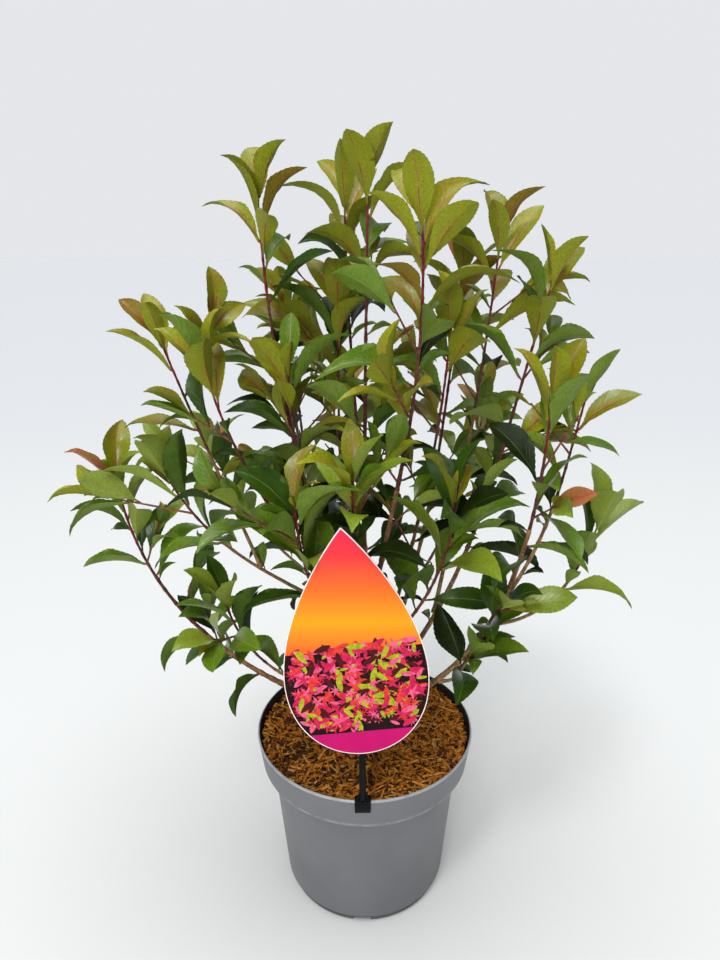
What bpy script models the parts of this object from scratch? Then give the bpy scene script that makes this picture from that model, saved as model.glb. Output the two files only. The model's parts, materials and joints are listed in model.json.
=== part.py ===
# Potted photinia: a young shrub in a 7.5 litre nursery pot, with a plain hang tag on a rim clip.
# Metres, +Z up, +Y to the back of the plant. The origin is the centre of the pot's flat underside.

import math
import random

import bmesh
import bpy
from mathutils import Matrix, Vector
from mathutils.bvhtree import BVHTree

GAP = 0.0003  # between pieces that touch on the real plant
UP = Vector((0, 0, 1))

# Pot
POT_HEIGHT = 0.206
POT_RADIUS = 0.127
POT_BASE_RADIUS = 0.0967
POT_WALL = 0.0018
POT_BAND = 0.038  # height of the wide band under the rim
POT_SHOULDER = 0.011  # how far the band stands out from the body
POT_SIDES = 36
DRAIN_SLOTS = 5
DRAIN_SLOT_WIDTH = 0.021
DRAIN_SLOT_HEIGHT = 0.0055
DRAIN_SLOT_DEPTH = 0.012
DRAIN_FIRST_TURN = math.radians(-93)

# Growing medium with its bark mulch
SOIL_DROP = 0.0105  # below the rim, at the wall
SOIL_CROWN = 0.003  # how much higher it lies round the stock

# Stock, the short common stem
STOCK_HEIGHT = 0.052
STOCK_RADIUS = 0.0155
STOCK_FLARE = 0.0235
STOCK_SIDES = 12

# Shoots. Each is one curve from its foot to its growing tip: a bare bough, then a leafy stem.
# on, at: what the foot stands on and where, a share of that limb's length, of the stock's
# height for its side, or of the stock's radius for its top.
# leave, arrive: the azimuth and elevation, in degrees, at the foot and at the tip.
# bare: the share of the curve that is bough. foot: the bough's radius at its foot.
SHOOTS = {
    "left_low": dict(
        on="side", at=0.45, leave=(172, 12), bare=0.18, foot=0.0048,
        tip=(-0.275, 0.040, 0.500), arrive=(172, 86),
    ),
    "left_front": dict(
        on="top", at=0.62, leave=(202, 86), bare=0.36, foot=0.0040,
        tip=(-0.146, -0.060, 0.640), arrive=(190, 78),
    ),
    "left_mid": dict(
        on="left_front", at=0.30, leave=(195, 38), bare=0.50, foot=0.0031,
        tip=(-0.193, -0.040, 0.525), arrive=(170, 62),
    ),
    "left_rise": dict(
        on="left_mid", at=0.42, leave=(165, 68), bare=0.28, foot=0.0026,
        tip=(-0.196, -0.015, 0.660), arrive=(180, 72),
    ),
    "left_tall": dict(
        on="top", at=0.62, leave=(140, 74), bare=0.28, foot=0.0044,
        tip=(-0.100, 0.020, 0.790), arrive=(180, 89),
    ),
    "left_inner": dict(
        on="left_tall", at=0.24, leave=(250, 60), bare=0.28, foot=0.0028,
        tip=(-0.073, -0.030, 0.630), arrive=(200, 88),
    ),
    "left_twig": dict(
        on="side", at=0.55, leave=(214, 46), bare=0.40, foot=0.0026,
        tip=(-0.137, -0.090, 0.418), arrive=(210, 78),
    ),
    "centre_tall": dict(
        on="top", at=0.0, leave=(90, 89), bare=0.24, foot=0.0045,
        tip=(0.005, 0.020, 0.800), arrive=(0, 89),
    ),
    "centre_inner": dict(
        on="centre_tall", at=0.20, leave=(120, 60), bare=0.28, foot=0.0030,
        tip=(-0.027, 0.055, 0.690), arrive=(120, 88),
    ),
    "front_tall": dict(
        on="top", at=0.62, leave=(268, 76), bare=0.26, foot=0.0046,
        tip=(0.050, -0.060, 0.765), arrive=(175, 86),
    ),
    "front_low": dict(
        on="front_tall", at=0.22, leave=(258, 55), bare=0.34, foot=0.0026,
        tip=(-0.012, -0.098, 0.545), arrive=(270, 82),
    ),
    "front_left": dict(
        on="left_front", at=0.16, leave=(240, 52), bare=0.36, foot=0.0026,
        tip=(-0.066, -0.088, 0.515), arrive=(250, 82),
    ),
    "right_tall": dict(
        on="side", at=0.80, leave=(8, 52), bare=0.34, foot=0.0044,
        tip=(0.183, 0.000, 0.712), arrive=(0, 76),
    ),
    "right_rise": dict(
        on="right_tall", at=0.25, leave=(60, 62), bare=0.34, foot=0.0033,
        tip=(0.142, 0.060, 0.748), arrive=(30, 84),
    ),
    "right_inner": dict(
        on="top", at=0.62, leave=(340, 78), bare=0.22, foot=0.0036,
        tip=(0.085, -0.008, 0.665), arrive=(20, 86),
    ),
    "front_right": dict(
        on="right_inner", at=0.16, leave=(300, 50), bare=0.28, foot=0.0028,
        tip=(0.084, -0.090, 0.520), arrive=(290, 84),
    ),
    "right_low": dict(
        on="side", at=0.50, leave=(338, 34), bare=0.56, foot=0.0052,
        tip=(0.166, -0.090, 0.612), arrive=(290, 88),
    ),
    "right_out": dict(
        on="right_low", at=0.52, leave=(20, 52), bare=0.28, foot=0.0028,
        tip=(0.216, -0.030, 0.602), arrive=(40, 70),
    ),
    "right_arm": dict(
        on="right_low", at=0.45, leave=(355, 6), bare=0.42, foot=0.0026,
        tip=(0.246, -0.022, 0.468), arrive=(10, 74),
    ),
    "right_twig": dict(
        on="right_low", at=0.36, leave=(310, 22), bare=0.30, foot=0.0024,
        tip=(0.140, -0.100, 0.412), arrive=(320, 14),
    ),
    "right_spur": dict(
        on="right_low", at=0.22, leave=(345, 12), bare=0.28, foot=0.0024,
        tip=(0.116, -0.075, 0.346), arrive=(352, 26),
    ),
    "back_tall": dict(
        on="top", at=0.62, leave=(80, 76), bare=0.25, foot=0.0042,
        tip=(-0.018, 0.090, 0.785), arrive=(100, 87),
    ),
    "back_low": dict(
        on="back_tall", at=0.22, leave=(95, 42), bare=0.36, foot=0.0030,
        tip=(-0.020, 0.215, 0.560), arrive=(90, 76),
    ),
    "back_left": dict(
        on="side", at=0.75, leave=(120, 54), bare=0.32, foot=0.0038,
        tip=(-0.086, 0.150, 0.660), arrive=(125, 82),
    ),
    "back_left_low": dict(
        on="back_left", at=0.28, leave=(145, 24), bare=0.40, foot=0.0028,
        tip=(-0.190, 0.160, 0.500), arrive=(150, 70),
    ),
    "back_right": dict(
        on="side", at=0.62, leave=(52, 52), bare=0.34, foot=0.0040,
        tip=(0.112, 0.115, 0.715), arrive=(50, 82),
    ),
    "back_right_low": dict(
        on="back_right", at=0.26, leave=(50, 28), bare=0.40, foot=0.0028,
        tip=(0.160, 0.190, 0.545), arrive=(45, 74),
    ),
}
TIP_RADIUS = 0.0011
FORK_GAP = 0.0005  # a limb bends towards its fork, so the fork stands a little further off
BOUGH_SIDES = 6
BOUGH_RING = 0.032  # length of bough to one ring
STEM_RING = 0.040
STEM_SIDES = 3
STEM_SWELL = 1.15  # a three-sided stem is drawn a little wider than the bough it goes on from
CURVE_PULL = 0.38  # the handles' share of the way from foot to tip
CURVE_STEPS = 64

# Leaves, in a spiral from the tip down
SEED = 15
LEAF_LENGTH = 0.088
LEAF_WIDTH = 0.36  # of its length
LEAF_THICKNESS = 0.020  # of its length
LEAF_WIDEST = 0.56  # of its length, from the root
LEAF_HUMP = 0.46
LEAF_YOUNG = 0.88  # the top leaf, of a full one
LEAF_TURN = math.radians(137.5)
LEAF_FIRST = 0.003  # of stem above the top leaf
LEAF_PITCH = 0.0085  # of stem between leaves at the tip
LEAF_PITCH_GROWTH = 0.075  # and what is added for each metre further down
LEAF_SPREAD = (22, 72)  # degrees from the stem, at the tip and lower down
LEAF_SPREAD_OVER = 0.14  # length of stem over which they open
LEAF_DROOP = (0.07, 0.19)  # how far the tip falls below the blade's line, of its length
LEAF_TO_LIGHT = 0.6  # how much the upper face turns to the sky rather than to the tip
LEAF_TRIES = ((0, 1.0), (-14, 1.0), (14, 1.0), (-26, 0.9), (0, 0.78), (-20, 0.7))  # degrees, length
LEAF_CLEAR = 0.0010
LEAF_SINK = 0.2  # of the stem's radius, past its centre line
LEAF_LEAST = 0.006  # of stem below the lowest leaf
LEAF_STALK = 0.25  # of the way to the hump: the part that may lie in its own mass

# Side twigs on each leafy stem
TWIG_PITCH = 0.092  # of leafy stem for one twig
TWIG_LENGTH = (0.045, 0.085)
TWIG_SPREAD = 54
TWIG_TO_LIGHT = 0.25  # how much a twig turns up from its spread
TWIG_RADIUS = 0.0015
TWIG_SINK = 0.5  # of the stem's radius, past its centre line
TWIG_LEAVES = 5
TWIG_LEAF_SIZE = 0.86

# Hang tag and the strip that holds it
TAG_WIDTH = 0.150
TAG_HEIGHT = 0.240
TAG_THICKNESS = 0.0012
TAG_FOOT = 0.267  # height of its lowest point
TAG_RIGHT = 0.002  # of its strip
TAG_ROLL = math.radians(-5)
TAG_POINTS = 44
HOLDER_LEFT = 0.004  # of the pot's middle
STRIP_WIDTH = 0.0068
STRIP_THICKNESS = 0.0022
STRIP_TOP = 0.470
STRIP_LEAN = math.radians(3)
CLIP_WIDTH = 0.0165
CLIP_DEPTH = 0.017
CLIP_WALL = 0.0018


def clear_scene():
    for old in list(bpy.data.objects):
        bpy.data.objects.remove(old, do_unlink=True)


def make_material(name, colour, roughness, metallic=0.0):
    material = bpy.data.materials.new(name)
    material.use_nodes = True
    shader = material.node_tree.nodes["Principled BSDF"]
    shader.inputs["Base Color"].default_value = (*colour, 1)
    shader.inputs["Roughness"].default_value = roughness
    shader.inputs["Metallic"].default_value = metallic
    return material


def add_object(name, bm, material, sharp=35):
    bmesh.ops.recalc_face_normals(bm, faces=bm.faces[:])
    mesh = bpy.data.meshes.new(name)
    bm.to_mesh(mesh)
    bm.free()
    mesh.materials.append(material)
    mesh.shade_smooth()
    mesh.set_sharp_from_angle(angle=math.radians(sharp))
    obj = bpy.data.objects.new(name, mesh)
    bpy.context.scene.collection.objects.link(obj)
    return obj


def apply_modifiers(obj):
    bpy.context.view_layer.update()
    depsgraph = bpy.context.evaluated_depsgraph_get()
    mesh = bpy.data.meshes.new_from_object(obj.evaluated_get(depsgraph))
    obj.modifiers.clear()
    old = obj.data
    obj.data = mesh
    bpy.data.meshes.remove(old)


def turned(profile, sides):
    # Turns a closed (radius, height) outline round Z. Points on the axis meet in one.
    bm = bmesh.new()
    points = [bm.verts.new((radius, 0, height)) for radius, height in profile]
    edges = [bm.edges.new((a, b)) for a, b in zip(points, points[1:] + points[:1])]
    axis = dict(cent=(0, 0, 0), axis=(0, 0, 1), angle=2 * math.pi)
    bmesh.ops.spin(bm, geom=points + edges, steps=sides, use_merge=True, **axis)
    bmesh.ops.remove_doubles(bm, verts=bm.verts[:], dist=0.00001)
    flat = [face for face in bm.faces if face.calc_area() < 1e-12]
    bmesh.ops.delete(bm, geom=flat, context="FACES")
    return bm


def pot_outline(inset):
    # The pot's outer side from the underside to the rim, moved inwards by inset.
    shoulder = POT_HEIGHT - POT_BAND
    body_top = POT_RADIUS - POT_SHOULDER - 0.006
    return [
        (POT_BASE_RADIUS - 0.0015 - inset, 0),
        (POT_BASE_RADIUS - inset, 0.002),
        (body_top - inset, shoulder - 0.006),
        (body_top + 0.0015 - inset, shoulder - 0.002),
        (POT_RADIUS - 0.0055 - inset, shoulder),
        (POT_RADIUS - 0.0048 - inset, shoulder + 0.0015),
        (POT_RADIUS - 0.0006 - inset, POT_HEIGHT - 0.004),
    ]


def pot_inside(inset):
    # The pot's inner side, from a floor that is as thick as the inset.
    foot, *wall, shoulder, lip, top = pot_outline(inset)[1:]
    return [(foot[0], inset), *wall, shoulder, top]


def pot_radius(height, inset):
    outline = pot_inside(inset)
    for (r0, z0), (r1, z1) in zip(outline, outline[1:]):
        if z0 <= height <= z1:
            return r0 + (r1 - r0) * (height - z0) / (z1 - z0)
    return outline[-1][0]


def make_pot():
    grey = make_material("pot_grey", (0.19, 0.195, 0.205), 0.42)
    outer = pot_outline(0)
    inner = pot_inside(POT_WALL)
    rim = [(0, -0.0015), (-0.0008, 0), (-0.0022, 0)]
    rim = [(POT_RADIUS + out, POT_HEIGHT + up) for out, up in rim]
    pot = add_object("pot", turned([(0, 0)] + outer + rim + inner[::-1] + [(0, POT_WALL)], POT_SIDES), grey)
    cutters = bpy.data.collections.new("drain_slots")
    bpy.context.scene.collection.children.link(cutters)
    for index in range(DRAIN_SLOTS):
        turn = DRAIN_FIRST_TURN + index * 2 * math.pi / DRAIN_SLOTS
        bm = bmesh.new()
        bmesh.ops.create_cube(bm, size=1)
        size = (DRAIN_SLOT_DEPTH * 2, DRAIN_SLOT_WIDTH, DRAIN_SLOT_HEIGHT * 2)
        bmesh.ops.scale(bm, vec=size, verts=bm.verts[:])
        bmesh.ops.translate(bm, vec=(POT_BASE_RADIUS, 0, 0), verts=bm.verts[:])
        bmesh.ops.rotate(bm, cent=(0, 0, 0), matrix=Matrix.Rotation(turn, 3, "Z"), verts=bm.verts[:])
        cutter = add_object("drain_slot_cutter", bm, grey)
        bpy.context.scene.collection.objects.unlink(cutter)
        cutters.objects.link(cutter)
    join(pot, cutters, "DIFFERENCE")
    return pot


def join(obj, others, operation="UNION"):
    # One Boolean on a collection, applied, with the collection's objects then removed.
    boolean = obj.modifiers.new("join", "BOOLEAN")
    boolean.operation = operation
    boolean.operand_type = "COLLECTION"
    boolean.collection = others
    boolean.solver = "EXACT"
    apply_modifiers(obj)
    for other in list(others.objects):
        bpy.data.objects.remove(other, do_unlink=True)
    bpy.data.collections.remove(others)


def drop_scraps(obj):
    # Keeps the body with the most vertices, and leaves out any that doesn't hold on to it.
    bm = bmesh.new()
    bm.from_mesh(obj.data)
    bodies = []
    left = set(bm.verts)
    while left:
        body = {left.pop()}
        edge = set(body)
        while edge:
            edge = {other.other_vert(vert) for vert in edge for other in vert.link_edges} & left
            left -= edge
            body |= edge
        bodies.append(body)
    largest = max(bodies, key=len)
    scraps = [vert for body in bodies if body is not largest for vert in body]
    bmesh.ops.delete(bm, geom=scraps, context="VERTS")
    bm.to_mesh(obj.data)
    bm.free()


def make_soil():
    brown = make_material("bark_mulch", (0.17, 0.075, 0.03), 0.95)
    inset = POT_WALL + GAP
    top = POT_HEIGHT - SOIL_DROP
    wall = [point for point in pot_inside(inset) if point[1] < top]
    outline = [(0, inset)] + wall + [(pot_radius(top, inset), top), (STOCK_FLARE * 1.6, top + SOIL_CROWN)]
    return add_object("soil", turned(outline + [(0, top + SOIL_CROWN)], POT_SIDES), brown)


def stock_foot():
    return POT_HEIGHT - SOIL_DROP + SOIL_CROWN + GAP


def make_stock():
    bark = make_material("old_bark", (0.16, 0.11, 0.08), 0.85)
    foot = stock_foot()
    outline = [
        (0, foot),
        (STOCK_FLARE, foot),
        (STOCK_FLARE * 0.84, foot + 0.003),
        (STOCK_RADIUS, foot + 0.011),
        (STOCK_RADIUS, foot + STOCK_HEIGHT * 0.6),
        (STOCK_RADIUS, foot + STOCK_HEIGHT),
        (0, foot + STOCK_HEIGHT),
    ]
    return add_object("stock", turned(outline, STOCK_SIDES), bark)


def heading(azimuth, elevation):
    a = math.radians(azimuth)
    e = math.radians(elevation)
    return Vector((math.cos(a) * math.cos(e), math.sin(a) * math.cos(e), math.sin(e)))


class Curve:
    # A shoot's centre line, read by length.
    def __init__(self, foot, leave, tip, arrive):
        pull = (tip - foot).length * CURVE_PULL
        a, b = foot + leave * pull, tip - arrive * pull
        self.points = []
        for step in range(CURVE_STEPS + 1):
            t = step / CURVE_STEPS
            u = 1 - t
            self.points.append(foot * u**3 + a * (3 * u * u * t) + b * (3 * u * t * t) + tip * t**3)
        self.lengths = [0.0]
        for p, q in zip(self.points, self.points[1:]):
            self.lengths.append(self.lengths[-1] + (q - p).length)
        self.length = self.lengths[-1]

    def read(self, distance):
        distance = min(max(distance, 0), self.length)
        index = 1
        while index < CURVE_STEPS and self.lengths[index] < distance:
            index += 1
        p, q = self.points[index - 1], self.points[index]
        share = (distance - self.lengths[index - 1]) / (q - p).length
        return p.lerp(q, share), (q - p).normalized()


def across(direction, side):
    # Two unit vectors across a direction, the first as near as can be to side.
    first = (side - direction * side.dot(direction)).normalized()
    return first, direction.cross(first)


def radius_along(shoot, share):
    return shoot["foot"] + (TIP_RADIUS - shoot["foot"]) * share


def tube(curve, start, end, rings, sides, radius, side, cut=None):
    # A tapering limb. cut is a point and a normal: the foot is cut on that plane.
    bm = bmesh.new()
    loops = []
    for ring in range(rings + 1):
        distance = start + (end - start) * ring / rings
        centre, direction = curve.read(distance)
        x, y = across(direction, side)
        loop = []
        for corner in range(sides):
            angle = 2 * math.pi * corner / sides
            point = centre + (x * math.cos(angle) + y * math.sin(angle)) * radius(distance / curve.length)
            if cut and ring == 0:
                point -= direction * ((point - cut[0]).dot(cut[1]) / direction.dot(cut[1]))
            loop.append(bm.verts.new(point))
        loops.append(loop)
    bm.faces.new(loops[0][::-1])
    bm.faces.new(loops[-1])
    for low, high in zip(loops, loops[1:]):
        for corner in range(sides):
            after = (corner + 1) % sides
            bm.faces.new((low[corner], low[after], high[after], high[corner]))
    return bm


def foot_of(shoot, curves):
    # Where a bough's foot stands, and the way out of what carries it.
    leave = heading(*shoot["leave"])
    level = Vector((leave.x, leave.y, 0)).normalized()
    if shoot["on"] == "top":
        return level * STOCK_RADIUS * shoot["at"] + UP * (stock_foot() + STOCK_HEIGHT + GAP), UP
    if shoot["on"] == "side":
        return level * (STOCK_RADIUS + GAP) + UP * (stock_foot() + STOCK_HEIGHT * shoot["at"]), level
    parent = SHOOTS[shoot["on"]]
    curve = curves[shoot["on"]]
    centre, direction = curve.read(curve.length * shoot["at"])
    out = (leave - direction * leave.dot(direction)).normalized()
    x, y = across(direction, Vector(parent["tip"]).cross(UP))
    turn = math.atan2(out.dot(y), out.dot(x))
    corner = 2 * math.pi / BOUGH_SIDES
    reach = radius_along(parent, shoot["at"]) * math.cos(turn - round(turn / corner) * corner)
    return centre + out * (reach + FORK_GAP), out


def make_boughs(curves):
    bark = make_material("bough_bark", (0.13, 0.07, 0.05), 0.7)
    boughs = []
    for name, shoot in SHOOTS.items():
        foot, out = foot_of(shoot, curves)
        curve = Curve(foot, heading(*shoot["leave"]), Vector(shoot["tip"]), heading(*shoot["arrive"]))
        curves[name] = curve
        end = curve.length * shoot["bare"]
        rings = max(3, round(end / BOUGH_RING))
        side = Vector(shoot["tip"]).cross(UP)
        bm = tube(
            curve, 0, end, rings, BOUGH_SIDES, lambda share: radius_along(shoot, share), side, cut=(foot, out)
        )
        boughs.append(add_object("bough_" + name, bm, bark, sharp=80))
    return boughs


def leaf_points(leaf, out, tilt, share, swell=0.0):
    # Root, tip, two sides and the middle of the upper and lower face, all but the root swelled.
    angle = math.radians(leaf["spread"] + tilt)
    length = leaf["length"] * share
    root = leaf["root"] - out * leaf["radius"] * LEAF_SINK
    along = (leaf["stem"] * math.cos(angle) + out * math.sin(angle)).normalized()
    light = leaf["stem"] + UP * LEAF_TO_LIGHT
    upper = (light - along * light.dot(along)).normalized()
    upper = Matrix.Rotation(leaf["roll"], 3, along) @ upper
    side = along.cross(upper)
    half = side * (length * LEAF_WIDTH / 2)
    thick = upper * (length * LEAF_THICKNESS / 2 + swell)
    drop = upper * (length * leaf["droop"])
    hump = root + along * (length * LEAF_HUMP) + drop * 0.5
    widest = root + along * (length * LEAF_WIDEST) + drop * 0.55
    corners = [root + along * length - drop, widest + half, widest - half]
    corners = [corner + (corner - hump).normalized() * swell for corner in corners]
    return [root, *corners, hump + thick, hump - thick]


LEAF_FACES = [(2, 0, 4), (1, 2, 4), (3, 1, 4), (0, 3, 4), (0, 2, 5), (2, 1, 5), (1, 3, 5), (3, 0, 5)]


def sway(low, high, amount):
    return low + (high - low) * amount


def leaf_plan(curve, leafy, radius, draw, size, limit):
    # The leaves of one stem from its tip down: where each is rooted and how it stands.
    plan = []
    phase = draw.uniform(0, 2 * math.pi)
    below = LEAF_FIRST
    while below < leafy - LEAF_LEAST and len(plan) < limit:
        root, stem = curve.read(curve.length - below)
        opening = min(below / LEAF_SPREAD_OVER, 1)
        growth = sway(LEAF_YOUNG, 1.0, min(len(plan) / 3, 1))
        plan.append(
            dict(
                root=root,
                stem=stem,
                turn=phase + len(plan) * LEAF_TURN,
                spread=sway(*LEAF_SPREAD, opening) + draw.uniform(-9, 9),
                roll=draw.uniform(-0.4, 0.4),
                droop=draw.uniform(*LEAF_DROOP),
                length=LEAF_LENGTH * size * growth * draw.uniform(0.88, 1.10),
                radius=radius(1 - below / curve.length),
            )
        )
        below += (LEAF_PITCH + LEAF_PITCH_GROWTH * below) * draw.uniform(0.85, 1.15)
    return plan


def twig_plan(shoot, curve, draw):
    # The side twigs of one leafy stem, straight and sunk in it.
    leafy = curve.length * (1 - shoot["bare"])
    count = int(leafy / TWIG_PITCH)
    side = Vector(shoot["tip"]).cross(UP)
    twigs = []
    for index in range(count):
        below = leafy * (0.30 + 0.62 * index / count) + draw.uniform(-0.008, 0.008)
        centre, stem = curve.read(curve.length - below)
        x, y = across(stem, side)
        turn = draw.uniform(0, 2 * math.pi)
        out = x * math.cos(turn) + y * math.sin(turn)
        spread = math.radians(TWIG_SPREAD + draw.uniform(-8, 8))
        leave = (stem * math.cos(spread) + out * math.sin(spread) + UP * TWIG_TO_LIGHT).normalized()
        foot = centre - leave * radius_along(shoot, 1 - below / curve.length) * TWIG_SINK
        tip = foot + leave * draw.uniform(*TWIG_LENGTH)
        twigs.append(Curve(foot, leave, tip, leave))
    return twigs


def twig_radius(share):
    return sway(TWIG_RADIUS, TIP_RADIUS * 0.9, share)


def shape_of(points, faces):
    # A box and a tree of faces, for the test of what touches what.
    low = Vector([min(point[i] for point in points) for i in range(3)])
    high = Vector([max(point[i] for point in points) for i in range(3)])
    return low, high, BVHTree.FromPolygons(points, faces)


def touches(shape, others):
    low, high, tree = shape
    for other_low, other_high, other in others:
        if all(low[i] < other_high[i] and high[i] > other_low[i] for i in range(3)) and tree.overlap(other):
            return True
    return False


def shape_of_object(obj):
    mesh = obj.data
    return shape_of([vertex.co for vertex in mesh.vertices], [face.vertices[:] for face in mesh.polygons])


def all_but(name, fixed, taken):
    return fixed + [shape for other, shapes in taken.items() if other != name for shape in shapes]


def place_leaf(leaf, side, others, own):
    # The first try that touches nothing, or None. The root may lie in its own mass.
    x, y = across(leaf["stem"], side)
    out = x * math.cos(leaf["turn"]) + y * math.sin(leaf["turn"])
    for tilt, share in LEAF_TRIES:
        whole = leaf_points(leaf, out, tilt, share, LEAF_CLEAR)
        blade = [whole[0].lerp(whole[4], LEAF_STALK)] + whole[1:]
        if not touches(shape_of(whole, LEAF_FACES), others) and not touches(shape_of(blade, LEAF_FACES), own):
            return leaf_points(leaf, out, tilt, share)
    return None


def leaf_mesh(points):
    bm = bmesh.new()
    corners = [bm.verts.new(point) for point in points]
    for face in LEAF_FACES:
        bm.faces.new([corners[index] for index in face])
    return bm


def put_in(obj, collection):
    bpy.context.scene.collection.objects.unlink(obj)
    collection.objects.link(obj)


def make_foliage(curves, solids):
    # Stems first, then side twigs, then leaves in turn from every tip down, so that no mass
    # crowds out another.
    green = make_material("leaf_green", (0.045, 0.09, 0.02), 0.4)
    fixed = [shape_of_object(solid) for solid in solids]
    stems = {}
    extras = {}
    taken = {}
    plans = {}
    for name, shoot in SHOOTS.items():
        curve = curves[name]
        start = curve.length * shoot["bare"] + GAP
        rings = max(3, round((curve.length - start) / STEM_RING))
        side = Vector(shoot["tip"]).cross(UP)
        radius = lambda share: radius_along(shoot, share) * STEM_SWELL
        stem = tube(curve, start, curve.length, rings, STEM_SIDES, radius, side)
        stems[name] = add_object("foliage_" + name, stem, green, sharp=80)
        taken[name] = [shape_of_object(stems[name])]
        extras[name] = bpy.data.collections.new("leaves_" + name)
        bpy.context.scene.collection.children.link(extras[name])
    for index, (name, shoot) in enumerate(SHOOTS.items()):
        draw = random.Random(SEED + index)
        curve = curves[name]
        side = Vector(shoot["tip"]).cross(UP)
        leafy = curve.length * (1 - shoot["bare"])
        others = all_but(name, fixed, taken)
        plans[name] = leaf_plan(curve, leafy, lambda share: radius_along(shoot, share), draw, 1.0, 99)
        for twig in twig_plan(shoot, curve, draw):
            leaves = leaf_plan(twig, twig.length, twig_radius, draw, TWIG_LEAF_SIZE, TWIG_LEAVES)
            piece = add_object("twig", tube(twig, 0, twig.length, 1, STEM_SIDES, twig_radius, side), green)
            shape = shape_of_object(piece)
            if touches(shape, others + taken[name][1:]):
                bpy.data.objects.remove(piece, do_unlink=True)
                continue
            put_in(piece, extras[name])
            taken[name].append(shape)
            plans[name] += leaves
    count = 0
    for rank in range(max(len(plan) for plan in plans.values())):
        for name, shoot in SHOOTS.items():
            if rank >= len(plans[name]):
                continue
            side = Vector(shoot["tip"]).cross(UP)
            points = place_leaf(plans[name][rank], side, all_but(name, fixed, taken), taken[name][1:])
            if points is None:
                continue
            taken[name].append(shape_of(points, LEAF_FACES))
            put_in(add_object("leaf", leaf_mesh(points), green), extras[name])
            count += 1
    for name, stem in stems.items():
        join(stem, extras[name])
        drop_scraps(stem)
    return count, sum(len(plan) for plan in plans.values())


def tag_outline():
    # A drop: round below, drawn out to a blunt tip above.
    points = []
    for index in range(TAG_POINTS):
        turn = 2 * math.pi * index / TAG_POINTS
        height = (1 + math.cos(turn)) / 2
        width = math.sin(turn) * abs(math.sin(turn / 2)) ** 0.9
        points.append((width * TAG_WIDTH / 2 * 1.19, height * TAG_HEIGHT))
    return points


def tag_frame():
    # The tag hangs on the front of its strip, which leans back from the rim.
    lean = Matrix.Rotation(-STRIP_LEAN, 4, "X")
    return Matrix.Translation((-HOLDER_LEFT, -(POT_RADIUS + GAP + CLIP_WALL / 2), POT_HEIGHT)) @ lean


def make_tag():
    card = make_material("tag_card", (0.75, 0.16, 0.12), 0.35)
    bm = bmesh.new()
    corners = [bm.verts.new((x, 0, z)) for x, z in tag_outline()]
    face = bm.faces.new(corners)
    top = bmesh.ops.extrude_face_region(bm, geom=[face])
    moved = [item for item in top["geom"] if isinstance(item, bmesh.types.BMVert)]
    bmesh.ops.translate(bm, vec=(0, -TAG_THICKNESS, 0), verts=moved)
    bmesh.ops.rotate(bm, cent=(0, 0, 0), matrix=Matrix.Rotation(TAG_ROLL, 3, "Y"), verts=bm.verts[:])
    bmesh.ops.translate(
        bm, vec=(TAG_RIGHT, -STRIP_THICKNESS / 2 - GAP, TAG_FOOT - POT_HEIGHT), verts=bm.verts[:]
    )
    bmesh.ops.transform(bm, matrix=tag_frame(), verts=bm.verts[:])
    return add_object("tag_card", bm, card)


def block(name, size, centre, matrix, material):
    bm = bmesh.new()
    bmesh.ops.create_cube(bm, size=1)
    bmesh.ops.scale(bm, vec=size, verts=bm.verts[:])
    bmesh.ops.translate(bm, vec=centre, verts=bm.verts[:])
    bmesh.ops.transform(bm, matrix=matrix, verts=bm.verts[:])
    return add_object(name, bm, material)


def make_holder():
    # A saddle over the rim, with the strip standing on it.
    black = make_material("holder_black", (0.012, 0.012, 0.013), 0.4)
    rim_wall = 0.0047
    outside = POT_RADIUS + GAP
    saddle = outside + CLIP_WALL - (POT_RADIUS - rim_wall)
    level = Matrix.Translation((-HOLDER_LEFT, 0, 0))
    bridge = (0, -(POT_RADIUS - rim_wall + saddle / 2) + CLIP_WALL / 2, POT_HEIGHT + GAP + CLIP_WALL / 2)
    top = block("tag_holder", (CLIP_WIDTH, saddle + CLIP_WALL, CLIP_WALL), bridge, level, black)
    rest = bpy.data.collections.new("holder_pieces")
    bpy.context.scene.collection.children.link(rest)
    drop = CLIP_DEPTH + CLIP_WALL
    height = POT_HEIGHT + GAP + CLIP_WALL - drop / 2
    pieces = [
        ((CLIP_WIDTH, CLIP_WALL, drop), (0, -(outside + CLIP_WALL / 2), height), level),
        ((CLIP_WIDTH, CLIP_WALL, drop * 0.55), (0, -(POT_RADIUS - rim_wall - CLIP_WALL / 2),
                                                height + drop * 0.225), level),
        ((STRIP_WIDTH, STRIP_THICKNESS, STRIP_TOP - POT_HEIGHT), (0, 0, (STRIP_TOP - POT_HEIGHT) / 2 + GAP),
         tag_frame()),
    ]
    for size, centre, matrix in pieces:
        piece = block("holder_piece", size, centre, matrix, black)
        bpy.context.scene.collection.objects.unlink(piece)
        rest.objects.link(piece)
    join(top, rest)
    return top


def build():
    clear_scene()
    curves = {}
    solids = [make_pot(), make_soil(), make_stock()]
    solids += make_boughs(curves)
    solids += [make_tag(), make_holder()]
    leaves = make_foliage(curves, solids)
    print("leaves", leaves)


build()
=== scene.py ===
import json
import math
import random

import bmesh
import bpy
import numpy as np
from mathutils import Matrix, Vector, noise
from mathutils.bvhtree import BVHTree

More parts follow.
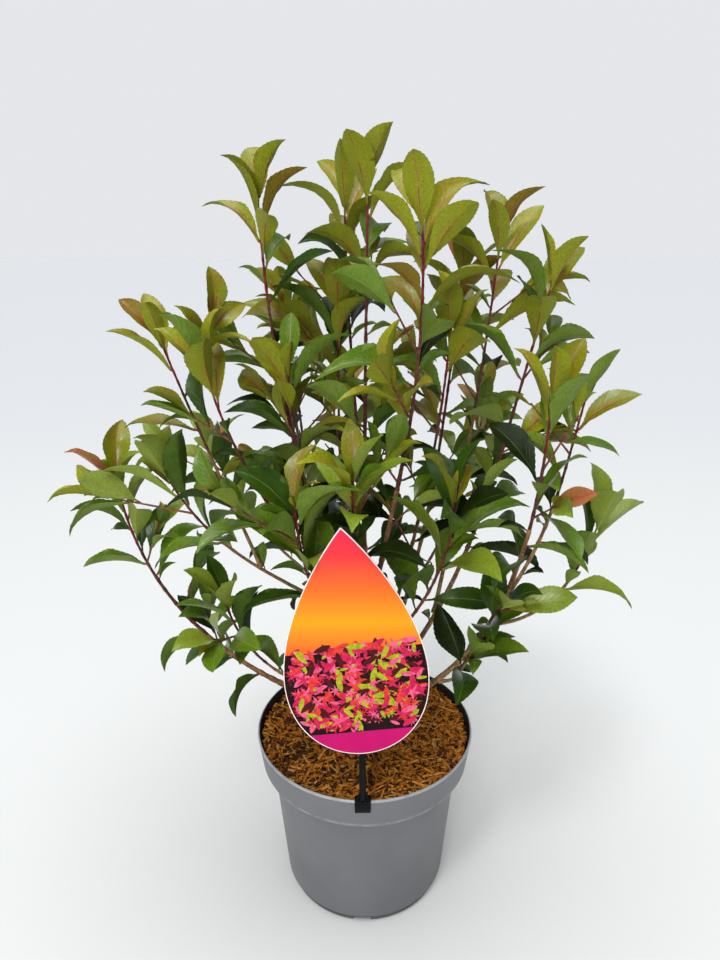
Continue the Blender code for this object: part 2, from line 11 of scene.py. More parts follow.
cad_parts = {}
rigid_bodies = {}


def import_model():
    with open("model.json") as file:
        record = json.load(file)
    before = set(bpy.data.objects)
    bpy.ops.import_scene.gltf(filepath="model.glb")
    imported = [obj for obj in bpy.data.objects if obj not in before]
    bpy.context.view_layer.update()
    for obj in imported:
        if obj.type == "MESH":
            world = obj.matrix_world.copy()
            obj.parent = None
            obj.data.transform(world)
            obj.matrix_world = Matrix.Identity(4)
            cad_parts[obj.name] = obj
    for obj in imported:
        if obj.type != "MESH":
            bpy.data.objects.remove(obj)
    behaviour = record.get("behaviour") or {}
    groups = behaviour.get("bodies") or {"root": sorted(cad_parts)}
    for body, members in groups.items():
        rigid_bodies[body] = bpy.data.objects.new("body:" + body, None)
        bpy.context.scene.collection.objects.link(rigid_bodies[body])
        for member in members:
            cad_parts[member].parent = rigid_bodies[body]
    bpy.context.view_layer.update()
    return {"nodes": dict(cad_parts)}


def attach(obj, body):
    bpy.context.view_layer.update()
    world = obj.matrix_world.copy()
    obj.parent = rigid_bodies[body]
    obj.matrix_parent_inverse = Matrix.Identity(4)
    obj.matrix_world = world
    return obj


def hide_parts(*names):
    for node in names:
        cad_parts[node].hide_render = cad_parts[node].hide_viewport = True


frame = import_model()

up = Vector((0, 0, 1))


# Camera, floor and light
cameraValues = {
    "place": (-0.0093, -0.6914, 0.7474),
    "turn": (71.18, 0.28, -0.53),  # degrees
    "lens": 25.9,  # mm on a 36 mm sensor
}
stageValues = {
    "floorSize": 40.0,
    "floorColour": (0.634, 0.642, 0.636),
    "farColour": (0.596, 0.604, 0.622),
    "fade": (0.9, 3.0),  # where the floor begins to take the far colour and has it
    "wallColour": (0.780, 0.795, 0.825),  # what the camera sees behind the plant
    "skyColour": (0.97, 0.985, 1.0),
    "wallStrength": 0.26,
    "ceilingStrength": 3.1,
    "ceilingFrom": (0.77, 0.90),  # how far up a ray points where the ceiling begins and is full
    "sun": {"aim": (0.30, 0.52, -1.0), "strength": 0.9, "spread": 12},
    "lights": {  # place, power, size
        "front": ((-0.7, -2.6, 1.3), 36, 0.8),
    },
    "lightTarget": (0, 0, 0.45),
}


def setCamera():
    camData = bpy.data.cameras.new("camera")
    camData.lens = cameraValues["lens"]
    camData.sensor_width = 36
    cam = bpy.data.objects.new("camera", camData)
    cam.location = cameraValues["place"]
    cam.rotation_euler = [math.radians(angle) for angle in cameraValues["turn"]]
    bpy.context.scene.collection.objects.link(cam)
    bpy.context.scene.camera = cam


def makeStage():
    bm = bmesh.new()
    bmesh.ops.create_grid(bm, x_segments=1, y_segments=1, size=stageValues["floorSize"])
    floor = addObject("floor", meshFromBmesh("floor", bm))
    pale = bpy.data.materials.new("floorPale")
    pale.use_nodes = True
    nodes, links = pale.node_tree.nodes, pale.node_tree.links
    distance = nodes.new("ShaderNodeVectorMath")
    distance.operation = "LENGTH"
    links.new(nodes.new("ShaderNodeTexCoord").outputs["Object"], distance.inputs[0])
    colour = nodes.new("ShaderNodeMix")
    colour.data_type = "RGBA"
    links.new(rangeNode(pale.node_tree, distance.outputs["Value"], *stageValues["fade"]), colour.inputs["Factor"])
    colour.inputs[6].default_value = (*stageValues["floorColour"], 1)
    colour.inputs[7].default_value = (*stageValues["farColour"], 1)
    links.new(colour.outputs[2], shaderOf(pale).inputs["Base Color"])
    shaderOf(pale).inputs["Roughness"].default_value = 0.8
    shaderOf(pale).inputs["Specular IOR Level"].default_value = 0.1
    floor.data.materials.append(pale)
    world = bpy.data.worlds.new("world")
    bpy.context.scene.world = world
    world.use_nodes = True
    tree = world.node_tree
    sky = tree.nodes["Background"]
    sky.inputs["Color"].default_value = (*stageValues["skyColour"], 1)
    split = tree.nodes.new("ShaderNodeSeparateXYZ")
    tree.links.new(tree.nodes.new("ShaderNodeTexCoord").outputs["Generated"], split.inputs[0])
    climb = tree.nodes.new("ShaderNodeMapRange")
    tree.links.new(split.outputs[2], climb.inputs["Value"])
    climb.inputs["From Min"].default_value, climb.inputs["From Max"].default_value = stageValues["ceilingFrom"]
    climb.inputs["To Min"].default_value = stageValues["wallStrength"]
    climb.inputs["To Max"].default_value = stageValues["ceilingStrength"]
    tree.links.new(climb.outputs["Result"], sky.inputs["Strength"])
    wall = tree.nodes.new("ShaderNodeBackground")
    wall.inputs["Color"].default_value = (*stageValues["wallColour"], 1)
    choice = tree.nodes.new("ShaderNodeMixShader")
    tree.links.new(tree.nodes.new("ShaderNodeLightPath").outputs["Is Camera Ray"], choice.inputs["Fac"])
    tree.links.new(sky.outputs[0], choice.inputs[1])
    tree.links.new(wall.outputs[0], choice.inputs[2])
    tree.links.new(choice.outputs[0], tree.nodes["World Output"].inputs["Surface"])
    sun = bpy.data.lights.new("sun", "SUN")
    sun.energy = stageValues["sun"]["strength"]
    sun.angle = math.radians(stageValues["sun"]["spread"])
    addLamp(sun, (0, 0, 3), stageValues["sun"]["aim"])
    for name, (place, power, size) in stageValues["lights"].items():
        lamp = bpy.data.lights.new(name, "AREA")
        lamp.energy = power
        lamp.size = size
        addLamp(lamp, place, Vector(stageValues["lightTarget"]) - Vector(place))
    bpy.context.scene.view_settings.view_transform = "Standard"
    print("stage ready")


def addLamp(lamp, place, aim):
    holder = bpy.data.objects.new(lamp.name, lamp)
    holder.location = place
    holder.rotation_euler = Vector(aim).to_track_quat("-Z", "Y").to_euler()
    bpy.context.scene.collection.objects.link(holder)


# Meshes and objects
def addObject(name, mesh, *materials):
    for mat in materials:
        mesh.materials.append(mat)
    obj = bpy.data.objects.new(name, mesh)
    bpy.context.scene.collection.objects.link(obj)
    return obj


def meshFromBmesh(name, bm, sharp=40):
    mesh = bpy.data.meshes.new(name)
    bm.to_mesh(mesh)
    bm.free()
    mesh.shade_smooth()
    mesh.set_sharp_from_angle(angle=math.radians(sharp))
    return mesh


def meshFromCopies(name, template, copies, sharp=40):
    # One mesh from many sets of points that share the faces of one template.
    loops, sizes = template["loops"], template["sizes"]
    count = len(copies[0])
    mesh = bpy.data.meshes.new(name)
    mesh.vertices.add(count * len(copies))
    mesh.vertices.foreach_set("co", np.concatenate(copies).astype(np.float32).ravel())
    allLoops = (loops[None, :] + count * np.arange(len(copies))[:, None]).ravel()
    mesh.loops.add(len(allLoops))
    mesh.loops.foreach_set("vertex_index", allLoops.astype(np.int32))
    allSizes = np.tile(sizes, len(copies))
    starts = np.concatenate([[0], np.cumsum(allSizes)[:-1]])
    mesh.polygons.add(len(allSizes))
    mesh.polygons.foreach_set("loop_start", starts.astype(np.int32))
    mesh.polygons.foreach_set("material_index", np.tile(template["kinds"], len(copies)).astype(np.int32))
    layer = mesh.uv_layers.new(name="leafMap")
    layer.data.foreach_set("uv", np.tile(template["uvs"][loops], (len(copies), 1)).astype(np.float32).ravel())
    mesh.update(calc_edges=True)
    mesh.shade_smooth()
    mesh.set_sharp_from_angle(angle=math.radians(sharp))
    return mesh


def templateFrom(bm, kindOf, uvOf):
    # The points, faces, materials and map of a bmesh, as arrays.
    bm.verts.ensure_lookup_table()
    for index, vert in enumerate(bm.verts):
        vert.index = index
    template = {
        "points": np.array([vert.co[:] for vert in bm.verts]),
        "loops": np.array([vert.index for face in bm.faces for vert in face.verts]),
        "sizes": np.array([len(face.verts) for face in bm.faces]),
        "kinds": np.array([kindOf(face) for face in bm.faces]),
        "uvs": np.array([uvOf(vert.co) for vert in bm.verts]),
    }
    bm.free()
    return template


# Finishes. A group gives colours, roughness and height, and the shader stays in its material.
def shaderOf(mat):
    return mat.node_tree.nodes["Principled BSDF"]


def newGroup(name, inputs, outputs):
    group = bpy.data.node_groups.new(name, "ShaderNodeTree")
    kinds = {"colour": "NodeSocketColor", "value": "NodeSocketFloat"}
    for socket, kind in inputs.items():
        group.interface.new_socket(name=socket, in_out="INPUT", socket_type=kinds[kind])
    for socket, kind in outputs.items():
        group.interface.new_socket(name=socket, in_out="OUTPUT", socket_type=kinds[kind])
    return group, group.nodes.new("NodeGroupInput").outputs, group.nodes.new("NodeGroupOutput").inputs


def mathNode(tree, operation, a, b=None, c=None):
    node = tree.nodes.new("ShaderNodeMath")
    node.operation = operation
    for socket, value in zip(node.inputs, (a, b, c)):
        if isinstance(value, (int, float)):
            socket.default_value = value
        elif value is not None:
            tree.links.new(value, socket)
    return node.outputs[0]


def mixNode(tree, share, a, b):
    node = tree.nodes.new("ShaderNodeMix")
    node.data_type = "RGBA"
    tree.links.new(share, node.inputs["Factor"])
    tree.links.new(a, node.inputs[6])
    tree.links.new(b, node.inputs[7])
    return node.outputs[2]


def rangeNode(tree, value, low, high):
    # 0 below low, 1 above high, smooth between them.
    node = tree.nodes.new("ShaderNodeMapRange")
    node.interpolation_type = "SMOOTHSTEP"
    tree.links.new(value, node.inputs["Value"])
    node.inputs["From Min"].default_value = low
    node.inputs["From Max"].default_value = high
    return node.outputs["Result"]


def noiseNode(tree, place, scale, factor=1.0, detail=4.0):
    node = tree.nodes.new("ShaderNodeTexNoise")
    tree.links.new(place, node.inputs["Vector"])
    tree.links.new(mathNode(tree, "MULTIPLY", scale, factor), node.inputs["Scale"])
    node.inputs["Detail"].default_value = detail
    return node.outputs["Fac"]


def mottleGroup():
    # Soft patches of a second colour, uneven gloss and a fine grain.
    inputs = {"Colour": "colour", "Patch": "colour", "Amount": "value", "Scale": "value"}
    inputs.update({"Roughness": "value", "Spread": "value"})
    group, given, result = newGroup("mottle", inputs, {"Colour": "colour", "Roughness": "value", "Height": "value"})
    place = group.nodes.new("ShaderNodeTexCoord").outputs["Object"]
    patches = noiseNode(group, place, given["Scale"])
    grain = noiseNode(group, place, given["Scale"], 7.0)
    share = mathNode(group, "MULTIPLY", rangeNode(group, patches, 0.38, 0.66), given["Amount"])
    group.links.new(mixNode(group, share, given["Colour"], given["Patch"]), result["Colour"])
    uneven = mathNode(group, "MULTIPLY", mathNode(group, "SUBTRACT", patches, 0.5), given["Spread"])
    group.links.new(mathNode(group, "ADD", given["Roughness"], uneven), result["Roughness"])
    group.links.new(mathNode(group, "ADD", patches, mathNode(group, "MULTIPLY", grain, 0.4)), result["Height"])
    return group


def veinGroup():
    # A flush beside the foot of the middle rib, side veins that sweep to the tip, and dark spots.
    inputs = {"Colour": "colour", "Vein": "colour", "Flush": "colour", "Spot": "colour"}
    inputs.update({"Veins": "value", "Flushed": "value", "Spots": "value", "Count": "value"})
    group, given, result = newGroup("veins", inputs, {"Colour": "colour", "Height": "value"})
    uv = group.nodes.new("ShaderNodeUVMap")
    uv.uv_map = "leafMap"
    split = group.nodes.new("ShaderNodeSeparateXYZ")
    group.links.new(uv.outputs[0], split.inputs[0])
    place = group.nodes.new("ShaderNodeTexCoord").outputs["Object"]
    outward = mathNode(group, "ABSOLUTE", mathNode(group, "SUBTRACT", split.outputs[0], 0.5))
    beside = mathNode(group, "SUBTRACT", 1.0, rangeNode(group, outward, 0.03, 0.34))
    foot = mathNode(group, "SUBTRACT", 1.0, rangeNode(group, split.outputs[1], 0.30, 0.95))
    cloud = rangeNode(group, noiseNode(group, place, given["Count"], 5.0), 0.34, 0.60)
    flush = mathNode(group, "MULTIPLY", mathNode(group, "MULTIPLY", beside, foot), cloud)
    flush = mathNode(group, "MULTIPLY", flush, given["Flushed"])
    colour = mixNode(group, flush, given["Colour"], given["Flush"])
    sweep = mathNode(group, "MULTIPLY", mathNode(group, "POWER", outward, 0.8), 0.42)
    along = mathNode(group, "MULTIPLY", mathNode(group, "SUBTRACT", split.outputs[1], sweep), given["Count"])
    saw = mathNode(group, "ABSOLUTE", mathNode(group, "SUBTRACT", mathNode(group, "FRACT", along), 0.5))
    line = mathNode(group, "SUBTRACT", 1.0, rangeNode(group, saw, 0.03, 0.16))
    line = mathNode(group, "MULTIPLY", line, mathNode(group, "SUBTRACT", 1.0, rangeNode(group, outward, 0.18, 0.48)))
    colour = mixNode(group, mathNode(group, "MULTIPLY", line, given["Veins"]), colour, given["Vein"])
    cells = group.nodes.new("ShaderNodeTexVoronoi")
    group.links.new(place, cells.inputs["Vector"])
    cells.inputs["Scale"].default_value = 260
    dots = mathNode(group, "SUBTRACT", 1.0, rangeNode(group, cells.outputs["Distance"], 0.10, 0.20))
    some = rangeNode(group, noiseNode(group, place, given["Count"], 3.0), 0.48, 0.56)
    grain = rangeNode(group, noiseNode(group, place, given["Count"], 48.0), 0.36, 0.66)
    dots = mathNode(group, "MAXIMUM", mathNode(group, "MULTIPLY", dots, some), mathNode(group, "MULTIPLY", grain, 0.32))
    dots = mathNode(group, "MULTIPLY", dots, given["Spots"])
    group.links.new(mixNode(group, dots, colour, given["Spot"]), result["Colour"])
    group.links.new(mathNode(group, "MULTIPLY", line, 0.35), result["Height"])
    return group


def scuffAndHighlightGroup():
    # Pale streaks round an edge at one height: partly rubbed scuffs, partly a painted highlight where the edge catches
    # light.
    inputs = {"Colour": "colour", "ScuffAndHighlight": "colour", "Level": "value", "Width": "value", "Amount": "value"}
    group, given, result = newGroup("scuffsAndHighlight", inputs, {"Colour": "colour", "Height": "value"})
    place = group.nodes.new("ShaderNodeTexCoord").outputs["Object"]
    split = group.nodes.new("ShaderNodeSeparateXYZ")
    group.links.new(place, split.inputs[0])
    away = mathNode(group, "ABSOLUTE", mathNode(group, "SUBTRACT", split.outputs[2], given["Level"]))
    near = mathNode(group, "SUBTRACT", 1.0, rangeNode(group, mathNode(group, "DIVIDE", away, given["Width"]), 0.2, 1.0))
    rubbedAndLit = group.nodes.new("ShaderNodeTexNoise")
    group.links.new(place, rubbedAndLit.inputs["Vector"])
    rubbedAndLit.inputs["Scale"].default_value = 70
    rubbedAndLit.inputs["Detail"].default_value = 6
    share = mathNode(group, "MULTIPLY", near, rangeNode(group, rubbedAndLit.outputs["Fac"], 0.35, 0.65))
    share = mathNode(group, "MULTIPLY", share, given["Amount"])
    group.links.new(mixNode(group, share, given["Colour"], given["ScuffAndHighlight"]), result["Colour"])
    group.links.new(mathNode(group, "MULTIPLY", share, -0.3), result["Height"])
    return group


def barkGroup():
    # Cracks that run round and along, and pale breathing pores.
    inputs = {"Colour": "colour", "Crack": "colour", "Pore": "colour", "Amount": "value", "Scale": "value"}
    group, given, result = newGroup("bark", inputs, {"Colour": "colour", "Height": "value"})
    place = group.nodes.new("ShaderNodeTexCoord").outputs["Object"]
    streaks = noiseNode(group, place, given["Scale"], 1.0, 8.0)
    cracks = rangeNode(group, streaks, 0.50, 0.62)
    pores = group.nodes.new("ShaderNodeTexVoronoi")
    group.links.new(place, pores.inputs["Vector"])
    group.links.new(mathNode(group, "MULTIPLY", given["Scale"], 1.6), pores.inputs["Scale"])
    dots = mathNode(group, "SUBTRACT", 1.0, rangeNode(group, pores.outputs["Distance"], 0.10, 0.24))
    colour = mixNode(group, mathNode(group, "MULTIPLY", cracks, given["Amount"]), given["Colour"], given["Crack"])
    colour = mixNode(group, mathNode(group, "MULTIPLY", dots, given["Amount"]), colour, given["Pore"])
    group.links.new(colour, result["Colour"])
    height = mathNode(group, "SUBTRACT", mathNode(group, "MULTIPLY", dots, 0.6), cracks)
    group.links.new(height, result["Height"])
    return group


def useGroup(mat, group, values):
    # Places a group in a material. A socket of another node is linked, a plain value is set.
    tree = mat.node_tree
    node = tree.nodes.new("ShaderNodeGroup")
    node.node_tree = groups[group]
    for name, value in values.items():
        if isinstance(value, bpy.types.NodeSocket):
            tree.links.new(value, node.inputs[name])
        elif isinstance(value, tuple):
            node.inputs[name].default_value = (*value, 1)
        else:
            node.inputs[name].default_value = value
    return node.outputs


def addBump(mat, height, depth):
    bump = mat.node_tree.nodes.new("ShaderNodeBump")
    bump.inputs["Strength"].default_value = 1.0
    bump.inputs["Distance"].default_value = depth
    mat.node_tree.links.new(height, bump.inputs["Height"])
    mat.node_tree.links.new(bump.outputs["Normal"], shaderOf(mat).inputs["Normal"])


def newMaterial(name, colour, patch, roughness, scale=40.0, amount=0.6, spread=0.2, bump=0.0002):
    # A plain base colour with mottled patches: the start of every finish here.
    mat = bpy.data.materials.new(name)
    mat.use_nodes = True
    values = {"Colour": colour, "Patch": patch, "Amount": amount, "Scale": scale}
    mottle = useGroup(mat, "mottle", {**values, "Roughness": roughness, "Spread": spread})
    mat.node_tree.links.new(mottle["Colour"], shaderOf(mat).inputs["Base Color"])
    mat.node_tree.links.new(mottle["Roughness"], shaderOf(mat).inputs["Roughness"])
    addBump(mat, mottle["Height"], bump)
    return mat


def layerOn(mat, group, values, bump):
    # Lays another group's colour and height over the mottled ones.
    tree, shader = mat.node_tree, shaderOf(mat)
    under = shader.inputs["Base Color"].links[0].from_socket
    layer = useGroup(mat, group, {"Colour": under, **values})
    tree.links.new(layer["Colour"], shader.inputs["Base Color"])
    relief = shader.inputs["Normal"].links[0].from_node
    grain = relief.inputs["Height"].links[0].from_socket
    tree.links.new(mathNode(tree, "ADD", grain, mathNode(tree, "MULTIPLY", layer["Height"], 1.5)), relief.inputs["Height"])
    relief.inputs["Distance"].default_value = bump


def barkMaterial(name, colour, dark, pale, roughness, scale):
    mat = newMaterial(name, colour, dark, roughness, scale=scale * 0.3, amount=0.7)
    layerOn(mat, "bark", {"Crack": dark, "Pore": pale, "Amount": 0.65, "Scale": scale}, 0.0003)
    return mat


# The limbs, as the source has them
gap = 0.0003
potValues = {
    "height": 0.206, "radius": 0.127, "baseRadius": 0.0967, "wall": 0.0018, "band": 0.038, "shoulder": 0.011,
    "sides": 180, "slots": 5, "slotWidth": 0.021, "slotHeight": 0.0055, "slotDepth": 0.012, "firstTurn": -93,
    "ringTop": 0.0100, "ringIn": 0.0034, "rimHighlightLine": 0.0022,
}
stockValues = {"height": 0.052, "radius": 0.0155, "flare": 0.0235, "sides": 48, "rings": 26, "rough": 0.0011}
soilValues = {"drop": 0.0105, "crown": 0.003, "drawn": 0.010}


def shoot(on, at, leave, bare, foot, tip, arrive):
    return {
        "on": on, "at": at, "leave": leave, "bare": bare, "foot": foot, "tip": Vector(tip), "arrive": arrive,
        "side": Vector(tip).cross(up),
    }


shoots = {
    # on, at, leave, bare, foot, tip, arrive
    "left_low": shoot("side", 0.45, (172, 12), 0.18, 0.0048, (-0.275, 0.040, 0.500), (172, 86)),
    "left_front": shoot("top", 0.62, (202, 86), 0.36, 0.0040, (-0.146, -0.060, 0.640), (190, 78)),
    "left_mid": shoot("left_front", 0.30, (195, 38), 0.50, 0.0031, (-0.193, -0.040, 0.525), (170, 62)),
    "left_rise": shoot("left_mid", 0.42, (165, 68), 0.28, 0.0026, (-0.196, -0.015, 0.660), (180, 72)),
    "left_tall": shoot("top", 0.62, (140, 74), 0.28, 0.0044, (-0.100, 0.020, 0.790), (180, 89)),
    "left_inner": shoot("left_tall", 0.24, (250, 60), 0.28, 0.0028, (-0.073, -0.030, 0.630), (200, 88)),
    "left_twig": shoot("side", 0.55, (214, 46), 0.40, 0.0026, (-0.137, -0.090, 0.418), (210, 78)),
    "centre_tall": shoot("top", 0.0, (90, 89), 0.24, 0.0045, (0.005, 0.020, 0.800), (0, 89)),
    "centre_inner": shoot("centre_tall", 0.20, (120, 60), 0.28, 0.0030, (-0.027, 0.055, 0.690), (120, 88)),
    "front_tall": shoot("top", 0.62, (268, 76), 0.26, 0.0046, (0.050, -0.060, 0.765), (175, 86)),
    "front_low": shoot("front_tall", 0.22, (258, 55), 0.34, 0.0026, (-0.012, -0.098, 0.545), (270, 82)),
    "front_left": shoot("left_front", 0.16, (240, 52), 0.36, 0.0026, (-0.066, -0.088, 0.515), (250, 82)),
    "right_tall": shoot("side", 0.80, (8, 52), 0.34, 0.0044, (0.183, 0.000, 0.712), (0, 76)),
    "right_rise": shoot("right_tall", 0.25, (60, 62), 0.34, 0.0033, (0.142, 0.060, 0.748), (30, 84)),
    "right_inner": shoot("top", 0.62, (340, 78), 0.22, 0.0036, (0.085, -0.008, 0.665), (20, 86)),
    "front_right": shoot("right_inner", 0.16, (300, 50), 0.28, 0.0028, (0.084, -0.090, 0.520), (290, 84)),
    "right_low": shoot("side", 0.50, (338, 34), 0.56, 0.0052, (0.166, -0.090, 0.612), (290, 88)),
    "right_out": shoot("right_low", 0.52, (20, 52), 0.28, 0.0028, (0.216, -0.030, 0.602), (40, 70)),
    "right_arm": shoot("right_low", 0.45, (355, 6), 0.42, 0.0026, (0.246, -0.022, 0.468), (10, 74)),
    "right_twig": shoot("right_low", 0.36, (310, 22), 0.30, 0.0024, (0.140, -0.100, 0.412), (320, 14)),
    "right_spur": shoot("right_low", 0.22, (345, 12), 0.28, 0.0024, (0.116, -0.075, 0.346), (352, 26)),
    "back_tall": shoot("top", 0.62, (80, 76), 0.25, 0.0042, (-0.018, 0.090, 0.785), (100, 87)),
    "back_low": shoot("back_tall", 0.22, (95, 42), 0.36, 0.0030, (-0.020, 0.215, 0.560), (90, 76)),
    "back_left": shoot("side", 0.75, (120, 54), 0.32, 0.0038, (-0.086, 0.150, 0.660), (125, 82)),
    "back_left_low": shoot("back_left", 0.28, (145, 24), 0.40, 0.0028, (-0.190, 0.160, 0.500), (150, 70)),
    "back_right": shoot("side", 0.62, (52, 52), 0.34, 0.0040, (0.112, 0.115, 0.715), (50, 82)),
    "back_right_low": shoot("back_right", 0.26, (50, 28), 0.40, 0.0028, (0.160, 0.190, 0.545), (45, 74)),
}
stemValues = {
    "tipRadius": 0.0011, "forkGap": 0.0005, "boughSides": 6, "pull": 0.38, "steps": 64,
    "cadRing": 0.040, "cadSides": 3, "swell": 1.15,
}


def heading(azimuth, elevation):
    a, e = math.radians(azimuth), math.radians(elevation)
    return Vector((math.cos(a) * math.cos(e), math.sin(a) * math.cos(e), math.sin(e)))


class Curve:
    # A shoot's centre line, read by length.
    def __init__(self, foot, leave, tip, arrive):
        pull = (tip - foot).length * stemValues["pull"]
        a, b = foot + leave * pull, tip - arrive * pull
        self.points = []
        for step in range(stemValues["steps"] + 1):
            t = step / stemValues["steps"]
            u = 1 - t
            self.points.append(foot * u**3 + a * (3 * u * u * t) + b * (3 * u * t * t) + tip * t**3)
        self.lengths = [0.0]
        for p, q in zip(self.points, self.points[1:]):
            self.lengths.append(self.lengths[-1] + (q - p).length)
        self.length = self.lengths[-1]

    def read(self, distance):
        distance = min(max(distance, 0), self.length)
        index = 1
        while index < stemValues["steps"] and self.lengths[index] < distance:
            index += 1
        p, q = self.points[index - 1], self.points[index]
        return p.lerp(q, (distance - self.lengths[index - 1]) / (q - p).length), (q - p).normalized()


def across(direction, side):
    first = (side - direction * side.dot(direction)).normalized()
    return first, direction.cross(first)


def sway(low, high, amount):
    return low + (high - low) * amount


def radiusAlong(values, share):
    return sway(values["foot"], stemValues["tipRadius"], share)


def stockFoot():
    return potValues["height"] - soilValues["drop"] + soilValues["crown"] + gap


def footOf(values, curves):
    leave = heading(*values["leave"])
    level = Vector((leave.x, leave.y, 0)).normalized()
    if values["on"] == "top":
        return level * stockValues["radius"] * values["at"] + up * (stockFoot() + stockValues["height"] + gap)
    if values["on"] == "side":
        return level * (stockValues["radius"] + gap) + up * (stockFoot() + stockValues["height"] * values["at"])
    parent, curve = shoots[values["on"]], curves[values["on"]]
    centre, direction = curve.read(curve.length * values["at"])
    out = (leave - direction * leave.dot(direction)).normalized()
    x, y = across(direction, parent["side"])
    turn = math.atan2(out.dot(y), out.dot(x))
    corner = 2 * math.pi / stemValues["boughSides"]
    reach = radiusAlong(parent, values["at"]) * math.cos(turn - round(turn / corner) * corner)
    return centre + out * (reach + stemValues["forkGap"])


def makeCurves():
    curves = {}
    for name, values in shoots.items():
        foot = footOf(values, curves)
        curves[name] = Curve(foot, heading(*values["leave"]), values["tip"], heading(*values["arrive"]))
    return curves


# Where every leaf and side twig grows
leafValues = {
    "seed": 15, "length": 0.088, "width": 0.36, "thickness": 0.020, "widest": 0.56, "hump": 0.46, "young": 0.88,
    "turn": math.radians(137.5), "first": 0.003, "pitch": 0.0085, "pitchGrowth": 0.075, "spread": (22, 72),
    "spreadOver": 0.14, "droop": (0.07, 0.19), "toLight": 0.6, "clear": 0.0010, "sink": 0.2, "least": 0.006,
    "stalk": 0.25,
    "tries": ((0, 1.0), (-14, 1.0), (14, 1.0), (-26, 0.9), (0, 0.78), (-20, 0.7)),  # degrees, length
    "faces": [(2, 0, 4), (1, 2, 4), (3, 1, 4), (0, 3, 4), (0, 2, 5), (2, 1, 5), (1, 3, 5), (3, 0, 5)],
}
twigValues = {
    "pitch": 0.092, "length": (0.045, 0.085), "spread": 54, "toLight": 0.25, "radius": 0.0015, "sink": 0.5,
    "leaves": 5, "leafSize": 0.86,
}
finerValues = {
    "seed": 115,
    "fillTries": ((0, 0.62), (-18, 0.62), (16, 0.55), (-30, 0.5), (0, 0.42), (24, 0.40)),
    "fillPitch": 0.060, "fillSize": 0.8,
    "tipSizes": (0.52, 0.40, 0.27, 0.16), "tipSpread": (9, 24), "tipTries": ((0, 1.0), (8, 0.85), (-6, 0.7)),
    "boughPitch": 0.045, "boughSize": 0.62, "boughLow": 0.275, "lostTwigs": {"left_tall": (0,), "right_arm": (0,)},
}


class Space:
    # What is taken up so far. Each shape has an owner, and fixed shapes have none.
    def __init__(self, room=6000):
        self.low = np.zeros((room, 3))
        self.high = np.zeros((room, 3))
        self.owner = np.full(room, "", dtype=object)
        self.isStem = np.zeros(room, dtype=bool)
        self.trees = []

    def add(self, owner, points, faces, isStem=False):
        index = len(self.trees)
        self.low[index] = np.min(points, axis=0)
        self.high[index] = np.max(points, axis=0)
        self.owner[index] = owner
        self.isStem[index] = isStem
        self.trees.append(BVHTree.FromPolygons(points, faces))

    def touched(self, points, faces, owner, own):
        # Whether a shape meets what others have, or what its own mass has besides its stem.
        count = len(self.trees)
        low, high = np.min(points, axis=0), np.max(points, axis=0)
        near = (self.low[:count] < high).all(1) & (self.high[:count] > low).all(1)
        mine = self.owner[:count] == owner
        near &= (mine & ~self.isStem[:count]) if own else ~mine
        found = np.nonzero(near)[0]
        if not len(found):
            return False
        tree = BVHTree.FromPolygons(points, faces)
        return any(tree.overlap(self.trees[index]) for index in found)


def tubePoints(curve, start, end, rings, radius, side):
    # The plain three-sided stem of the solid, which the leaves keep clear of.
    points, faces = [], []
    sides = stemValues["cadSides"]
    for ring in range(rings + 1):
        distance = start + (end - start) * ring / rings
        centre, direction = curve.read(distance)
        x, y = across(direction, side)
        for corner in range(sides):
            angle = 2 * math.pi * corner / sides
            points.append(centre + (x * math.cos(angle) + y * math.sin(angle)) * radius(distance / curve.length))
            if ring:
                a, b = sides * (ring - 1) + corner, sides * (ring - 1) + (corner + 1) % sides
                faces.append((a, b, b + sides, a + sides))
    faces.append((2, 1, 0))
    faces.append(tuple(sides * rings + corner for corner in range(sides)))
    return points, faces


def leafPlan(curve, leafy, radius, draw, size, limit):
    plan = []
    phase = draw.uniform(0, 2 * math.pi)
    below = leafValues["first"]
    while below < leafy - leafValues["least"] and len(plan) < limit:
        root, stem = curve.read(curve.length - below)
        opening = min(below / leafValues["spreadOver"], 1)
        growth = sway(leafValues["young"], 1.0, min(len(plan) / 3, 1))
        plan.append({
            "root": root,
            "stem": stem,
            "turn": phase + len(plan) * leafValues["turn"],
            "spread": sway(*leafValues["spread"], opening) + draw.uniform(-9, 9),
            "roll": draw.uniform(-0.4, 0.4),
            "droop": draw.uniform(*leafValues["droop"]),
            "length": leafValues["length"] * size * growth * draw.uniform(0.88, 1.10),
            "radius": radius(1 - below / curve.length),
            "below": below,
            "rank": len(plan),
        })
        below += (leafValues["pitch"] + leafValues["pitchGrowth"] * below) * draw.uniform(0.85, 1.15)
    return plan


def twigRadius(share):
    return sway(twigValues["radius"], stemValues["tipRadius"] * 0.9, share)


def twigPlan(values, curve, draw):
    leafy = curve.length * (1 - values["bare"])
    count = int(leafy / twigValues["pitch"])
    twigs = []
    for index in range(count):
        below = leafy * (0.30 + 0.62 * index / count) + draw.uniform(-0.008, 0.008)
        centre, stem = curve.read(curve.length - below)
        x, y = across(stem, values["side"])
        turn = draw.uniform(0, 2 * math.pi)
        out = x * math.cos(turn) + y * math.sin(turn)
        spread = math.radians(twigValues["spread"] + draw.uniform(-8, 8))
        leave = (stem * math.cos(spread) + out * math.sin(spread) + up * twigValues["toLight"]).normalized()
        foot = centre - leave * radiusAlong(values, 1 - below / curve.length) * twigValues["sink"]
        tip = foot + leave * draw.uniform(*twigValues["length"])
        twigs.append(Curve(foot, leave, tip, leave))
    return twigs


